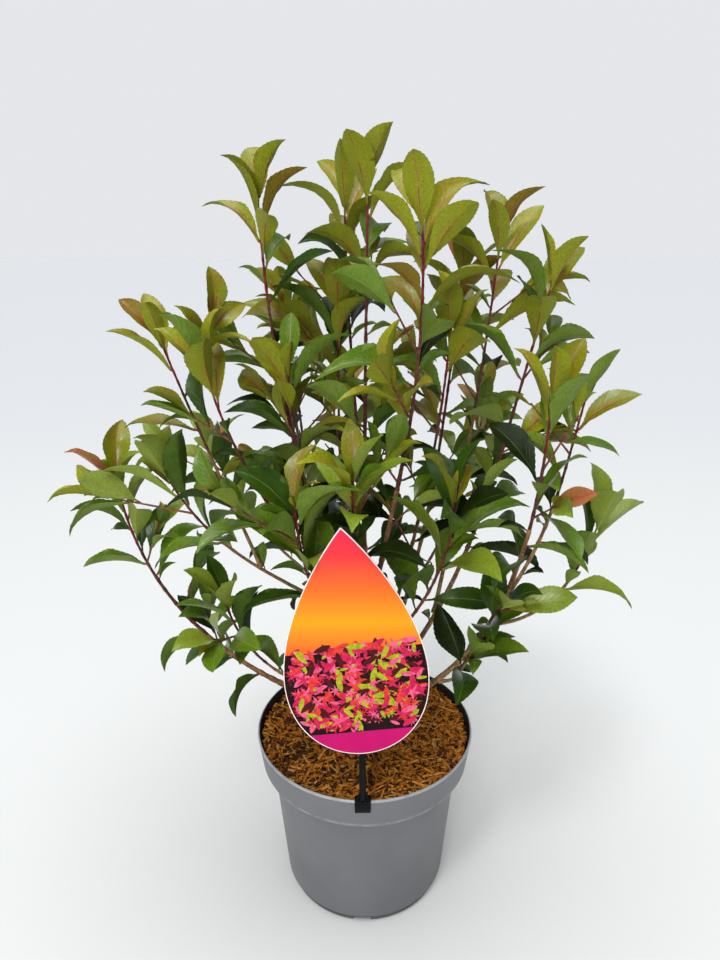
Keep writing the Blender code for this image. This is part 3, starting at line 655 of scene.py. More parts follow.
def leafAxes(leaf, out, tilt):
    angle = math.radians(leaf["spread"] + tilt)
    along = (leaf["stem"] * math.cos(angle) + out * math.sin(angle)).normalized()
    light = leaf["stem"] + up * leafValues["toLight"]
    upper = (light - along * light.dot(along)).normalized()
    upper = Matrix.Rotation(leaf["roll"], 3, along) @ upper
    return along, along.cross(upper), upper


def leafPoints(leaf, root, axes, length, swell):
    along, side, upper = axes
    half = side * (length * leafValues["width"] / 2)
    thick = upper * (length * leafValues["thickness"] / 2 + swell)
    drop = upper * (length * leaf["droop"])
    hump = root + along * (length * leafValues["hump"]) + drop * 0.5
    widest = root + along * (length * leafValues["widest"]) + drop * 0.55
    corners = [root + along * length - drop, widest + half, widest - half]
    corners = [corner + (corner - hump).normalized() * swell for corner in corners]
    return [root, *corners, hump + thick, hump - thick]


def placeLeaf(leaf, name, space, tries, onBough=False):
    # The first try that touches nothing, or None. The root may lie in its own mass, but a bough
    # is a fixed shape, so a leaf on one is tried just off its bark and then set in.
    x, y = across(leaf["stem"], shoots[name]["side"])
    out = x * math.cos(leaf["turn"]) + y * math.sin(leaf["turn"])
    root = leaf["root"] - out * leaf["radius"] * leafValues["sink"]
    if onBough:
        root = leaf["root"] + out * (leaf["radius"] + leafValues["clear"] * 1.2)
    for tilt, share in tries:
        axes = leafAxes(leaf, out, tilt)
        length = leaf["length"] * share
        whole = leafPoints(leaf, root, axes, length, leafValues["clear"])
        blade = [whole[0].lerp(whole[4], leafValues["stalk"])] + whole[1:]
        if space.touched(whole, leafValues["faces"], name, False):
            continue
        if space.touched(blade, leafValues["faces"], name, True):
            continue
        space.add(name, leafPoints(leaf, root, axes, length, 0.0), leafValues["faces"])
        root = leaf["root"] + out * leaf["radius"] * 0.5 if onBough else root
        return {**leaf, "root": root, "axes": axes, "length": length, "shoot": name}
    return None


def growCrown(curves):
    # The source's rule: stems, then side twigs, then leaves in turn from every tip down.
    space = Space()
    for name, node in frame["nodes"].items():
        if not name.startswith("foliage_"):
            mesh = node.data
            space.add("", [vertex.co for vertex in mesh.vertices], [tuple(face.vertices) for face in mesh.polygons])
    for name, values in shoots.items():
        curve = curves[name]
        start = curve.length * values["bare"] + gap
        rings = max(3, round((curve.length - start) / stemValues["cadRing"]))
        radius = lambda share: radiusAlong(values, share) * stemValues["swell"]
        space.add(name, *tubePoints(curve, start, curve.length, rings, radius, values["side"]), isStem=True)
    plans, twigs = {}, {}
    for index, (name, values) in enumerate(shoots.items()):
        draw = random.Random(leafValues["seed"] + index)
        curve = curves[name]
        leafy = curve.length * (1 - values["bare"])
        plan = leafPlan(curve, leafy, lambda share: radiusAlong(values, share), draw, 1.0, 99)
        plans[name] = [{**leaf, "twig": -1} for leaf in plan]
        twigs[name] = []
        for twig in twigPlan(values, curve, draw):
            leaves = leafPlan(twig, twig.length, twigRadius, draw, twigValues["leafSize"], twigValues["leaves"])
            shape = tubePoints(twig, 0, twig.length, 1, twigRadius, values["side"])
            if not space.touched(*shape, name, False) and not space.touched(*shape, name, True):
                space.add(name, *shape)
                plans[name] += [{**leaf, "twig": len(twigs[name])} for leaf in leaves]
                twigs[name].append(twig)
    kept, missed = [], []
    for rank in range(max(len(plan) for plan in plans.values())):
        for name in shoots:
            if rank < len(plans[name]):
                leaf = plans[name][rank]
                placed = placeLeaf(leaf, name, space, leafValues["tries"])
                kept.append(placed) if placed else missed.append((name, leaf))
    print("leaves of the source's rule", len(kept), "left out", len(missed))
    return space, kept, missed, twigs


def prune(leaves, twigs):
    # Takes off the few side twigs that the plant lacks.
    for name, lost in finerValues["lostTwigs"].items():
        leaves = [leaf for leaf in leaves if leaf["shoot"] != name or leaf["twig"] not in lost]
        twigs[name] = [twig for index, twig in enumerate(twigs[name]) if index not in lost]
    return leaves, twigs


def growFiner(curves, twigs, space, missed):
    # Smaller leaves in the same reach: at the tips, in the gaps, and a few on the old wood.
    tips, fills, old = [], [], []
    for index, (name, values) in enumerate(shoots.items()):
        draw = random.Random(finerValues["seed"] + index)
        curve = curves[name]
        for stemCurve in [curve] + twigs[name]:
            phase = draw.uniform(0, 2 * math.pi)
            for rank, size in enumerate(finerValues["tipSizes"]):
                root, stem = stemCurve.read(stemCurve.length - 0.0012 * (3 - rank))
                leaf = {
                    "root": root, "stem": stem, "turn": phase + rank * leafValues["turn"],
                    "spread": sway(*reversed(finerValues["tipSpread"]), rank / 3) + draw.uniform(-4, 4),
                    "roll": draw.uniform(-0.3, 0.3), "droop": draw.uniform(-0.02, 0.08),
                    "length": leafValues["length"] * size * draw.uniform(0.85, 1.1),
                    "radius": stemValues["tipRadius"], "below": 0.0, "rank": -1,
                }
                tips.append(placeLeaf(leaf, name, space, finerValues["tipTries"]))
        below = 0.012
        while below < curve.length * (1 - values["bare"] * 0.2):
            root, stem = curve.read(curve.length - below)
            onBough = below > curve.length * (1 - values["bare"])
            size = finerValues["boughSize"] if onBough else finerValues["fillSize"]
            leaf = {
                "root": root, "stem": stem, "turn": draw.uniform(0, 2 * math.pi),
                "spread": draw.uniform(42, 70), "roll": draw.uniform(-0.4, 0.4),
                "droop": draw.uniform(*leafValues["droop"]),
                "length": leafValues["length"] * size * draw.uniform(0.8, 1.05),
                "radius": radiusAlong(values, 1 - below / curve.length), "below": below, "rank": 9,
            }
            if not onBough:
                fills.append(placeLeaf(leaf, name, space, finerValues["fillTries"]))
            elif root.z > finerValues["boughLow"]:
                old.append(placeLeaf(leaf, name, space, finerValues["fillTries"][:4], onBough=True))
            below += (finerValues["boughPitch"] if onBough else finerValues["fillPitch"]) * draw.uniform(0.8, 1.2)
    again = [placeLeaf(leaf, name, space, finerValues["fillTries"]) for name, leaf in missed]
    made = [[leaf for leaf in group if leaf] for group in (tips, fills, old, again)]
    print("finer leaves at tips, in gaps, on old wood, retried", [len(group) for group in made])
    return [leaf for group in made for leaf in group]


# Leaves
bladeValues = {
    "rows": 9, "columnsAt": (-1.0, -0.52, -0.045, 0.045, 0.52, 1.0), "stalk": 0.12, "stalkRadius": 0.0008,
    "thickness": 0.00045, "fold": 0.50, "crease": 1.15, "wave": 0.06, "tooth": 0.045, "toothAhead": 0.12,
    "twist": 0.55, "rise": 1.22, "fall": 0.86, "curl": 1.3, "curlFrom": 0.55, "hook": (0, 6),
    "hookFrom": 0.88, "broad": (0.78, 1.12), "roll": 0.5, "size": (0.84, 1.00), "topSize": (0.84, 0.97),
    "crowded": 0.045, "leftOut": ((0.70, 0.30), (0.60, 0.18), (0.51, 0.58), (0.42, 0.20), (0, 0.18)), "straight": 0.11, "low": 0.48,
    "lowBroad": 1.12,
}
slighter = {  # shoots whose leaves are shorter than the solid's
    "left_low": 0.88, "left_twig": 0.85, "left_rise": 0.85, "right_out": 0.88, "right_twig": 0.85,
}
# How leaf crowding is counted for the painted shade in the leaves' colours.
shadeValues = {
    "reach": 0.095, "below": -0.02, "open": 8, "shadePainted": 26,
    "kinds": {"gold": 0.86, "olive": 0.57, "green": 0.33, "dark": 0.13},  # least score of each
}
leafKinds = {
    # upper side, patches on it, underside, middle rib, flush, how flushed, gloss, foot of the rib
    # Near-black, given only to crowded leaves: painted shade deep inside the crown.
    "shadePainted": (
        (0.005, 0.015, 0.001), (0.009, 0.024, 0.002), (0.036, 0.066, 0.012), (0.034, 0.060, 0.010),
        (0.030, 0.024, 0.005), 0.1, 0.31, 0.13, "pale",
    ),
    "dark": (
        (0.018, 0.058, 0.002), (0.034, 0.086, 0.003), (0.082, 0.146, 0.018), (0.080, 0.128, 0.016),
        (0.075, 0.072, 0.008), 0.2, 0.29, 0.22, "pale",
    ),
    "green": (
        (0.086, 0.184, 0.006), (0.132, 0.208, 0.008), (0.168, 0.250, 0.040), (0.155, 0.186, 0.018),
        (0.155, 0.112, 0.010), 0.3, 0.27, 0.33, "pale",
    ),
    "pale": (
        (0.190, 0.276, 0.018), (0.228, 0.280, 0.020), (0.236, 0.306, 0.052), (0.205, 0.235, 0.030),
        (0.210, 0.170, 0.018), 0.35, 0.30, 0.34, "pale",
    ),
    "olive": (
        (0.196, 0.228, 0.004), (0.218, 0.166, 0.006), (0.208, 0.238, 0.018), (0.210, 0.086, 0.014),
        (0.285, 0.105, 0.015), 0.65, 0.30, 0.33, "crimson",
    ),
    "gold": (
        (0.274, 0.310, 0.006), (0.288, 0.230, 0.010), (0.266, 0.296, 0.022), (0.255, 0.098, 0.018),
        (0.335, 0.152, 0.018), 0.6, 0.32, 0.34, "crimson",
    ),
    "bronze": (
        (0.235, 0.146, 0.008), (0.195, 0.180, 0.008), (0.245, 0.186, 0.024), (0.260, 0.050, 0.022),
        (0.290, 0.070, 0.018), 0.8, 0.32, 0.24, "crimson",
    ),
    "red": (
        (0.430, 0.140, 0.056), (0.290, 0.190, 0.020), (0.400, 0.172, 0.056), (0.330, 0.030, 0.036),
        (0.360, 0.060, 0.040), 0.7, 0.34, 0.24, "crimson",
    ),
}


def bladeTemplate():
    # A closed leaf shell laid flat: x across from -1 to 1, y from root to tip, z -1 on the underside.
    rows, columnsAt = bladeValues["rows"], bladeValues["columnsAt"]
    bm = bmesh.new()
    bmesh.ops.create_grid(bm, x_segments=len(columnsAt) - 1, y_segments=rows, size=1)
    for vert in bm.verts:
        column = round((vert.co.x + 1) / 2 * (len(columnsAt) - 1))
        vert.co = (columnsAt[column], (vert.co.y + 1) / 2, 0)
    copy = bmesh.ops.duplicate(bm, geom=bm.verts[:] + bm.edges[:] + bm.faces[:])["geom"]
    inner = [item for item in copy if isinstance(item, bmesh.types.BMVert) and not item.is_boundary]
    bmesh.ops.reverse_faces(bm, faces=[item for item in copy if isinstance(item, bmesh.types.BMFace)])
    bmesh.ops.translate(bm, vec=(0, 0, -1), verts=inner)
    bmesh.ops.remove_doubles(bm, verts=bm.verts[:], dist=0.0001)
    margin = [edge for edge in bm.edges if all(abs(vert.co.x) == 1 for vert in edge.verts)]
    bmesh.ops.subdivide_edges(bm, edges=margin, cuts=3)

    def kindOf(face):
        centre = face.calc_center_median()
        if centre.y < 1.2 / rows:
            return 3
        if abs(centre.x) < 0.1:
            return 4 if centre.y < 0.55 else 2
        return 1 if face.normal.z < 0 or centre.z < -0.1 else 0

    bm.normal_update()
    return templateFrom(bm, kindOf, lambda co: ((co.x + 1) / 2, co.y))


def bladePoints(template, leaf, draw):
    # Bends, folds and twists the flat shell into one leaf.
    x, v, under = template["points"].T
    step = v * bladeValues["rows"] * 4
    isTooth = np.round(step) % 2 == 1
    v = np.where(isTooth, v + bladeValues["toothAhead"] / bladeValues["rows"], v)
    v = v - 0.045 * np.sin(2 * math.pi * v)  # closer rows at the root and tip
    isTop = leaf["below"] < bladeValues["crowded"]
    length = leaf["length"] * draw.uniform(*bladeValues["topSize" if isTop else "size"])
    length *= slighter.get(leaf["shoot"], 1.0)
    droop = leaf["droop"] * min(0.3 + leaf["below"] / bladeValues["straight"], 0.85)
    stalk = bladeValues["stalk"]
    s = np.clip((v - stalk) / (1 - stalk), 0, 1)
    rise, fall = bladeValues["rise"], bladeValues["fall"]
    top = rise / (rise + fall)
    profile = s**rise * (1 - s)**fall / (top**rise * (1 - top)**fall)
    stalkRadius = bladeValues["stalkRadius"] * min(length / 0.06, 1.1)
    isLow = leaf["root"].z < bladeValues["low"]
    broad = leafValues["width"] * draw.uniform(*bladeValues["broad"]) * (bladeValues["lowBroad"] if isLow else 1)
    half = length * broad / 2 * (profile + isTooth * bladeValues["tooth"] * (profile > 0.1))
    half = np.maximum(half, stalkRadius * np.clip(1.15 - v * 1.1, 0.12, 1))
    curl = draw.random() ** 2 * bladeValues["curl"] * (0.5 if isLow else 1) * np.maximum(v - bladeValues["curlFrom"], 0) ** 2
    curl += draw.uniform(*bladeValues["hook"]) * np.maximum(v - bladeValues["hookFrom"], 0) ** 2
    lift = length * (droop * (3 * v - 4 * v * v) - curl)
    fold = bladeValues["fold"] * draw.uniform(0.4, 1.6)
    wave = bladeValues["wave"] * np.sin(v * draw.uniform(11, 19) + draw.uniform(0, 6.28)) * x * np.abs(x)
    rolled = half * (np.abs(x) ** bladeValues["crease"] * fold + wave)
    twist = draw.uniform(-1, 1) * bladeValues["twist"] * v + draw.uniform(-1, 1) * bladeValues["roll"]
    bend = draw.uniform(-0.07, 0.07) * length * v * v
    along, side, upper = (np.array(axis) for axis in leaf["axes"])
    isRib = np.abs(x) < 0.1
    acrossBy = half * x * np.cos(twist) - rolled * np.sin(twist) + bend
    upBy = half * x * np.sin(twist) + rolled * np.cos(twist) + lift
    upBy = upBy + under * (bladeValues["thickness"] + 2.2 * stalkRadius * isRib * np.clip(1.05 - v, 0, 1))
    upBy = upBy + stalkRadius * isRib * (under == 0) * np.clip(0.25 - v, 0, 0.1) * 6.6
    place = np.array(leaf["root"]) + np.outer(v * length, along)
    return place + np.outer(acrossBy, side) + np.outer(upBy, upper)


def paintedLeafShades(leaves):
    # How crowded by leaves beside and over it each leaf is: 0 in the open, 1 deep inside. It sets how much painted
    # shade goes into the leaf's colour.
    centres = np.array([leaf["root"] + leaf["axes"][0] * leaf["length"] * 0.5 for leaf in leaves])
    paintedShades = []
    for centre in centres:
        away = centres - centre
        near = (np.linalg.norm(away, axis=1) < shadeValues["reach"]) & (away[:, 2] > shadeValues["below"])
        paintedShades.append(min((near.sum() - shadeValues["open"]) / shadeValues["shadePainted"], 1))
    return paintedShades


def leafKind(leaf, shade, draw):
    # Young leaves are lighter. High ones are lighter too, partly painted light on the crown's top, and crowded ones
    # darker as painted shade. A few at the tips are bronze or red.
    if leaf["rank"] == -1:
        return draw.choices(("olive", "gold", "bronze", "red"), (4, 3, 2, 1))[0]
    if leaf["rank"] < 2 and shade < 0.35 and leaf["root"].z > 0.46 and draw.random() < 0.24:
        return draw.choice(("bronze", "red", "red"))
    young = 1 - min(leaf["below"] / 0.20, 1)
    # Height lifts the score: high leaves get lighter colours, partly the paler colour of sunlit leaves and partly
    # painted light on the crown's top.
    light = min(max((leaf["root"].z - 0.34) / 0.34, 0), 1)
    score = 0.40 * young + 0.42 * light - 0.46 * shade + draw.uniform(-0.50, 0.50) + 0.40
    if leaf["rank"] == 9 or leaf["root"].z < 0.37:
        score = min(score, 0.50)
    if score > 0.72 and shade < 0.5 and draw.random() < 0.12:
        return "bronze"
    for kind, least in shadeValues["kinds"].items():
        if score > least:
            isPale = leaf["root"].z < 0.53 + draw.uniform(-0.07, 0.07)
            return "pale" if isPale and kind in ("gold", "olive") else kind
    # Only crowded leaves fall to the near-black kind, which paints the shade inside the crown.
    return "shadePainted" if shade > 0.30 else "dark"


def leafMaterials(kind, stalk):
    upper, patch, under, rib, flush, flushed, gloss, sheen, foot = leafKinds[kind]
    values = {"Flush": flush, "Spot": (0.030, 0.018, 0.008), "Count": 11.0}
    top = newMaterial(kind + "LeafTop", upper, patch, gloss, scale=38, amount=0.8, spread=0.2, bump=0.0004)
    layerOn(top, "veins", {**values, "Vein": rib, "Veins": 0.09, "Flushed": flushed, "Spots": 0.9}, 0.00017)
    shaderOf(top).inputs["Specular IOR Level"].default_value = sheen
    paler = tuple(channel * 1.2 for channel in under)
    below = newMaterial(kind + "LeafUnder", under, upper, 0.6, scale=38, amount=0.5, bump=0.0003)
    layerOn(below, "veins", {**values, "Vein": paler, "Veins": 0.1, "Flushed": flushed * 0.6, "Spots": 0.7}, 0.0004)
    shaderOf(below).inputs["Specular IOR Level"].default_value = 0.1
    middle = newMaterial(kind + "LeafRib", rib, upper, 0.45, scale=90)
    return top, below, middle, stalk, stalk if foot == "crimson" else middle


def makeLeaves(leaves):
    template = bladeTemplate()
    piles = {kind: [] for kind in leafKinds}
    for index, (leaf, shade) in enumerate(zip(leaves, paintedLeafShades(leaves))):
        draw = random.Random(leafValues["seed"] * 1000 + index)
        leftOut = next(share for height, share in bladeValues["leftOut"] if leaf["root"].z > height)
        if leaf["rank"] < 4 or draw.random() > leftOut:
            blade = bladePoints(template, leaf, draw)
            piles[leafKind(leaf, shade, draw)].append(blade)
    stalk = newMaterial("leafStalk", (0.230, 0.022, 0.030), (0.200, 0.070, 0.030), 0.45, scale=60)
    pieces = []
    for kind, blades in piles.items():
        mesh = meshFromCopies("leaves_" + kind, template, blades, 60)
        pieces.append(addObject("leaves_" + kind, mesh, *leafMaterials(kind, stalk)))
        print("leaves", kind, len(blades), "triangles", sum(len(face.vertices) - 2 for face in mesh.polygons))
    return pieces


# Boughs, stems and side twigs
barkValues = {
    "ring": 0.0035, "sides": 14, "rough": 0.00028, "knot": 0.30, "knotLength": 0.0022, "collar": 0.45,
    "collarLength": 0.006, "sink": 0.9, "fit": 0.77,
}
barkColours = {
    # colour, cracks, pores, roughness
    "boughs": ((0.370, 0.235, 0.105), (0.135, 0.078, 0.036), (0.520, 0.380, 0.220), 0.75),
    "stems_low": ((0.350, 0.168, 0.066), (0.110, 0.048, 0.022), (0.470, 0.290, 0.150), 0.6),
    "stems_middle": ((0.150, 0.042, 0.024), (0.042, 0.011, 0.009), (0.290, 0.125, 0.070), 0.5),
    "stems_high": ((0.215, 0.013, 0.022), (0.070, 0.006, 0.009), (0.280, 0.050, 0.045), 0.42),
    "twigs": ((0.230, 0.085, 0.038), (0.080, 0.024, 0.014), (0.330, 0.160, 0.090), 0.5),
}


def addLimb(pile, curve, start, end, radius, side, knots, offset, collar):
    # A capped cylinder, cut into rings, then led along the curve with the bark's relief.
    rings = max(5, round((end - start) / barkValues["ring"]))
    bm = bmesh.new()
    bmesh.ops.create_cone(
        bm, cap_ends=True, cap_tris=True, segments=barkValues["sides"], radius1=1, radius2=1, depth=1
    )
    upright = [edge for edge in bm.edges if abs(edge.verts[0].co.z - edge.verts[1].co.z) > 0.5]
    bmesh.ops.subdivide_edges(bm, edges=upright, cuts=rings - 1)
    frames = {}
    for vert in bm.verts:
        ring = round((vert.co.z + 0.5) * rings)
        if ring not in frames:
            distance = sway(start, end, ring / rings)
            centre, direction = curve.read(distance)
            centre = centre + direction * min(distance, 0)
            swell = sum(math.exp(-((distance - knot) / barkValues["knotLength"]) ** 2) for knot in knots)
            swell = 1 + barkValues["knot"] * min(swell, 1)
            if collar:
                swell += barkValues["collar"] * math.exp(-max(distance, 0) / barkValues["collarLength"])
            size = radius(max(distance, 0) / curve.length) * barkValues["fit"] * swell
            frames[ring] = (centre, *across(direction, side), size, distance)
        centre, x, y, size, distance = frames[ring]
        way = x * vert.co.x + y * vert.co.y
        grain = noise.noise(way * 3.0 + Vector((0, 0, distance * 160 + offset)))
        grain += 0.6 * noise.noise(way * 1.2 + Vector((7, offset, distance * 45)))
        vert.co = centre + way * (size + grain * barkValues["rough"] * size / 0.003)
    bmesh.ops.recalc_face_normals(bm, faces=bm.faces[:])
    mesh = bpy.data.meshes.new("limb")
    bm.to_mesh(mesh)
    bm.free()
    pile.from_mesh(mesh)
    bpy.data.meshes.remove(mesh)


def makeWood(curves, twigs, leaves):
    draw = random.Random(3)
    piles = {name: bmesh.new() for name in barkColours}
    for name, values in shoots.items():
        curve = curves[name]
        knots = [curve.length - leaf["below"] for leaf in leaves if leaf["shoot"] == name and leaf["rank"] >= 0]
        split = curve.length * values["bare"]
        cuts = [split, sway(split, curve.length, 0.36), sway(split, curve.length, 0.77), curve.length]
        radius = lambda share: radiusAlong(values, share)
        offset = draw.uniform(0, 50)
        base = -barkValues["sink"] * (stockValues["radius"] * 0.3 if values["on"] in ("top", "side") else 0.003)
        addLimb(piles["boughs"], curve, base, split, radius, values["side"], [], offset, True)
        for pile, start, end in zip(("stems_low", "stems_middle", "stems_high"), cuts, cuts[1:]):
            near = [knot for knot in knots if start - 0.01 < knot < end + 0.01]
            addLimb(piles[pile], curve, start, end, radius, values["side"], near, offset, False)
        for twig in twigs[name]:
            addLimb(piles["twigs"], twig, 0, twig.length, twigRadius, values["side"], [], draw.uniform(0, 50), False)
    pieces = {}
    for name, pile in piles.items():
        colour, crack, pore, roughness = barkColours[name]
        mat = barkMaterial(name + "Bark", colour, crack, pore, roughness, 420)
        shaderOf(mat).inputs["Specular IOR Level"].default_value = 0.25
        pieces[name] = addObject(name, meshFromBmesh(name, pile, 60), mat)
        print("limbs", name, len(pieces[name].data.polygons))
    return pieces


def makeStock():
    # The short common stem: flared at the ground, ribbed below each bough, rounded on top.
    foot, height = stockFoot(), stockValues["height"]
    bm = bmesh.new()
    bmesh.ops.create_cone(
        bm, cap_ends=True, cap_tris=True, segments=stockValues["sides"], radius1=1, radius2=1, depth=1
    )
    upright = [edge for edge in bm.edges if abs(edge.verts[0].co.z - edge.verts[1].co.z) > 0.5]
    bmesh.ops.subdivide_edges(bm, edges=upright, cuts=stockValues["rings"] - 1)
    turns = [math.radians(values["leave"][0]) for values in shoots.values() if values["on"] == "side"]
    for vert in bm.verts:
        share = vert.co.z + 0.5
        angle = math.atan2(vert.co.y, vert.co.x)
        flare = (stockValues["flare"] - stockValues["radius"]) * math.exp(-share * height / 0.006)
        rib = 0.0012 * sum(math.exp(-((1 - math.cos(angle - turn)) / 0.10)) for turn in turns)
        shoulder = 0.0045 * max(0, (share - 0.86) / 0.14) ** 2
        way = Vector((math.cos(angle), math.sin(angle), 0))
        grain = noise.noise(way * 4 + Vector((0, 0, share * 9))) + 0.5 * noise.noise(way * 9 + Vector((0, 0, share * 30)))
        size = stockValues["radius"] * 0.95 + flare * 0.9 + rib - shoulder + grain * stockValues["rough"]
        isRim = vert.co.x ** 2 + vert.co.y ** 2 > 0.25
        vert.co = way * (size if isRim else 0) + up * (foot + height * share + (0 if isRim or share < 0.5 else -0.0005))
    bmesh.ops.recalc_face_normals(bm, faces=bm.faces[:])
    mat = barkMaterial("oldBark", (0.130, 0.092, 0.062), (0.055, 0.040, 0.030), (0.230, 0.180, 0.130), 0.85, 300)
    return addObject("stock_bark", meshFromBmesh("stock_bark", bm, 60), mat)


# Pot
def potOutline(inset):
    shoulder = potValues["height"] - potValues["band"]
    bodyTop = potValues["radius"] - potValues["shoulder"] - 0.006
    radius = potValues["radius"]
    return [
        (potValues["baseRadius"] - 0.0015 - inset, 0),
        (potValues["baseRadius"] - inset, 0.002),
        (bodyTop - inset, shoulder - 0.006),
        (bodyTop + 0.0015 - inset, shoulder - 0.002),
        (radius - 0.0055 - inset, shoulder),
        (radius - 0.0048 - inset, shoulder + 0.0015),
        (radius - 0.0006 - inset, potValues["height"] - 0.004),
    ]


def potFoot(inset):
    # The foot ring, set in from the body, as far as its top and the body's edge above it.
    lowest, foot, body = potOutline(inset)[:3]
    top, inward = potValues["ringTop"], potValues["ringIn"]
    edge = foot[0] + (body[0] - foot[0]) * (top - foot[1]) / (body[1] - foot[1])
    ring = [(lowest[0] - inward, 0), (foot[0] - inward, foot[1] / 2), (edge - inward, top - 0.0008)]
    return ring, [(edge - 0.0006, top), (edge, top + 0.0008)]


def potInside(inset):
    ring, edge = potFoot(inset)
    wall = potOutline(inset)[2:]
    return [(ring[1][0], inset), (ring[2][0], edge[1][1]), (edge[1][0], edge[1][1] + 0.0006), *wall[:3], wall[4]]


def turned(profile, sides):
    # Turns a closed outline of radius and height round the upright axis.
    bm = bmesh.new()
    points = [bm.verts.new((radius, 0, height)) for radius, height in profile]
    edges = [bm.edges.new((a, b)) for a, b in zip(points, points[1:] + points[:1])]
    axis = {"cent": (0, 0, 0), "axis": (0, 0, 1), "angle": 2 * math.pi}
    bmesh.ops.spin(bm, geom=points + edges, steps=sides, use_merge=True, **axis)
    bmesh.ops.remove_doubles(bm, verts=bm.verts[:], dist=0.00001)
    flat = [face for face in bm.faces if face.calc_area() < 1e-12]
    bmesh.ops.delete(bm, geom=flat, context="FACES")
    bmesh.ops.recalc_face_normals(bm, faces=bm.faces[:])
    return bm


def potMaterials():
    grey = newMaterial("potGrey", (0.150, 0.154, 0.166), (0.131, 0.134, 0.145), 0.46, 14, 0.7, 0.16, 0.0002)
    shaderOf(grey).inputs["Specular IOR Level"].default_value = 0.4
    shoulder = potValues["height"] - potValues["band"] + 0.0022
    # The pale line under the shoulder: scuffs together with a painted highlight along the shoulder's edge.
    scuffsAndHighlight = {"ScuffAndHighlight": (0.300, 0.310, 0.320), "Level": shoulder, "Width": 0.0030, "Amount": 0.75}
    layerOn(grey, "scuffsAndHighlight", scuffsAndHighlight, 0.0002)
    inside = newMaterial("potInside", (0.012, 0.012, 0.013), (0.026, 0.023, 0.020), 0.5, 30)
    foot = newMaterial("potFoot", (0.070, 0.072, 0.078), (0.110, 0.108, 0.104), 0.6, 60, 0.7)
    # A pale lip along the rim's top: mostly a painted highlight, partly a worn edge.
    rim = newMaterial("potRimHighlight", (0.330, 0.338, 0.352), (0.230, 0.236, 0.248), 0.4, 60, 0.8)
    return grey, inside, foot, rim


def makePot():
    wall, radius, height = potValues["wall"], potValues["radius"], potValues["height"]
    rim = [(radius, height - 0.0022), (radius - 0.0003, height - 0.0008), (radius - 0.0010, height)]
    rim += [(radius - 0.0020, height)]
    ring, edge = potFoot(0)
    outer = ring + edge + potOutline(0)[2:]
    inner = potInside(wall)
    bm = turned([(0, 0)] + outer + rim + inner[::-1] + [(0, wall)], potValues["sides"])
    pot = addObject("pot_shell", meshFromBmesh("pot_shell", bm, 38))
    cutters = bpy.data.collections.new("drain_slots")
    for index in range(potValues["slots"]):
        bm = bmesh.new()
        bmesh.ops.create_cube(bm, size=1)
        size = (potValues["slotDepth"] * 2, potValues["slotWidth"], potValues["slotHeight"] * 2)
        bmesh.ops.scale(bm, vec=size, verts=bm.verts[:])
        corners = [edge for edge in bm.edges if abs(edge.verts[0].co.x - edge.verts[1].co.x) > 0.001]
        bmesh.ops.bevel(
            bm, geom=corners, offset=0.0022, segments=3, profile=0.5, affect="EDGES", material=-1
        )
        bmesh.ops.translate(bm, vec=(potValues["baseRadius"], 0, 0), verts=bm.verts[:])
        turn = math.radians(potValues["firstTurn"]) + index * 2 * math.pi / potValues["slots"]
        bmesh.ops.rotate(bm, cent=(0, 0, 0), matrix=Matrix.Rotation(turn, 3, "Z"), verts=bm.verts[:])
        cutter = bpy.data.objects.new("slot", meshFromBmesh("slot", bm))
        cutters.objects.link(cutter)
    boolean = pot.modifiers.new("slots", "BOOLEAN")
    boolean.operation = "DIFFERENCE"
    boolean.operand_type = "COLLECTION"
    boolean.collection = cutters
    applyModifiers(pot)
    for cutter in list(cutters.objects):
        bpy.data.objects.remove(cutter, do_unlink=True)
    bpy.data.collections.remove(cutters)
    pot.data.materials.clear()
    for mat in potMaterials():
        pot.data.materials.append(mat)
    for face in pot.data.polygons:
        spot = face.center
        isInside = face.normal.x * spot.x + face.normal.y * spot.y < 0 and spot.z > 0.02
        # Faces near the rim's top take the pale lip of painted highlight.
        if spot.z > height - potValues["rimHighlightLine"] and not isInside:
            face.material_index = 3
        else:
            face.material_index = 1 if isInside else 2 if spot.z < potValues["ringTop"] - 0.0004 else 0
    return pot


def applyModifiers(obj):
    depsgraph = bpy.context.evaluated_depsgraph_get()
    mesh = bpy.data.meshes.new_from_object(obj.evaluated_get(depsgraph))
    obj.modifiers.clear()
    obj.data = mesh


# Mulch
mulchValues = {
    "seed": 11, "sides": 120, "rings": 26, "relief": 0.0016, "edge": 0.003, "shadeAndDampLeft": 0.6,
    "kinds": {  # count, length, width, thickness, rise above the bed
        "crumbs": (1900, (0.0020, 0.0045), (0.0012, 0.0028), (0.0008, 0.0018), (0.000, 0.0022)),
        "chips": (2600, (0.0050, 0.0125), (0.0018, 0.0040), (0.0006, 0.0014), (0.0005, 0.0040)),
        "fibres": (1900, (0.0080, 0.0200), (0.0006, 0.0013), (0.0004, 0.0009), (0.0012, 0.0050)),
        "splinters": (260, (0.0140, 0.0280), (0.0018, 0.0034), (0.0006, 0.0012), (0.0025, 0.0055)),
    },
}
mulchTones = {
    # colour, patches, share
    "rust": ((0.475, 0.160, 0.012), (0.300, 0.086, 0.008), 5.5),
    "tan": ((0.570, 0.248, 0.034), (0.400, 0.146, 0.016), 3.5),
    "umber": ((0.085, 0.029, 0.007), (0.045, 0.015, 0.004), 4.8),
    "straw": ((0.620, 0.350, 0.100), (0.430, 0.210, 0.050), 1.1),
}


def mulchTop(x, y):
    # The height of the bed: a low crown with small heaps.
    reach = math.hypot(x, y) / potValues["radius"]
    heaps = noise.noise(Vector((x * 45, y * 45, 3))) + 0.5 * noise.noise(Vector((x * 120, y * 120, 8)))
    base = potValues["height"] - soilValues["drop"] + soilValues["crown"] * (1 - reach) * 0.6
    return base + heaps * mulchValues["relief"] - 0.0008


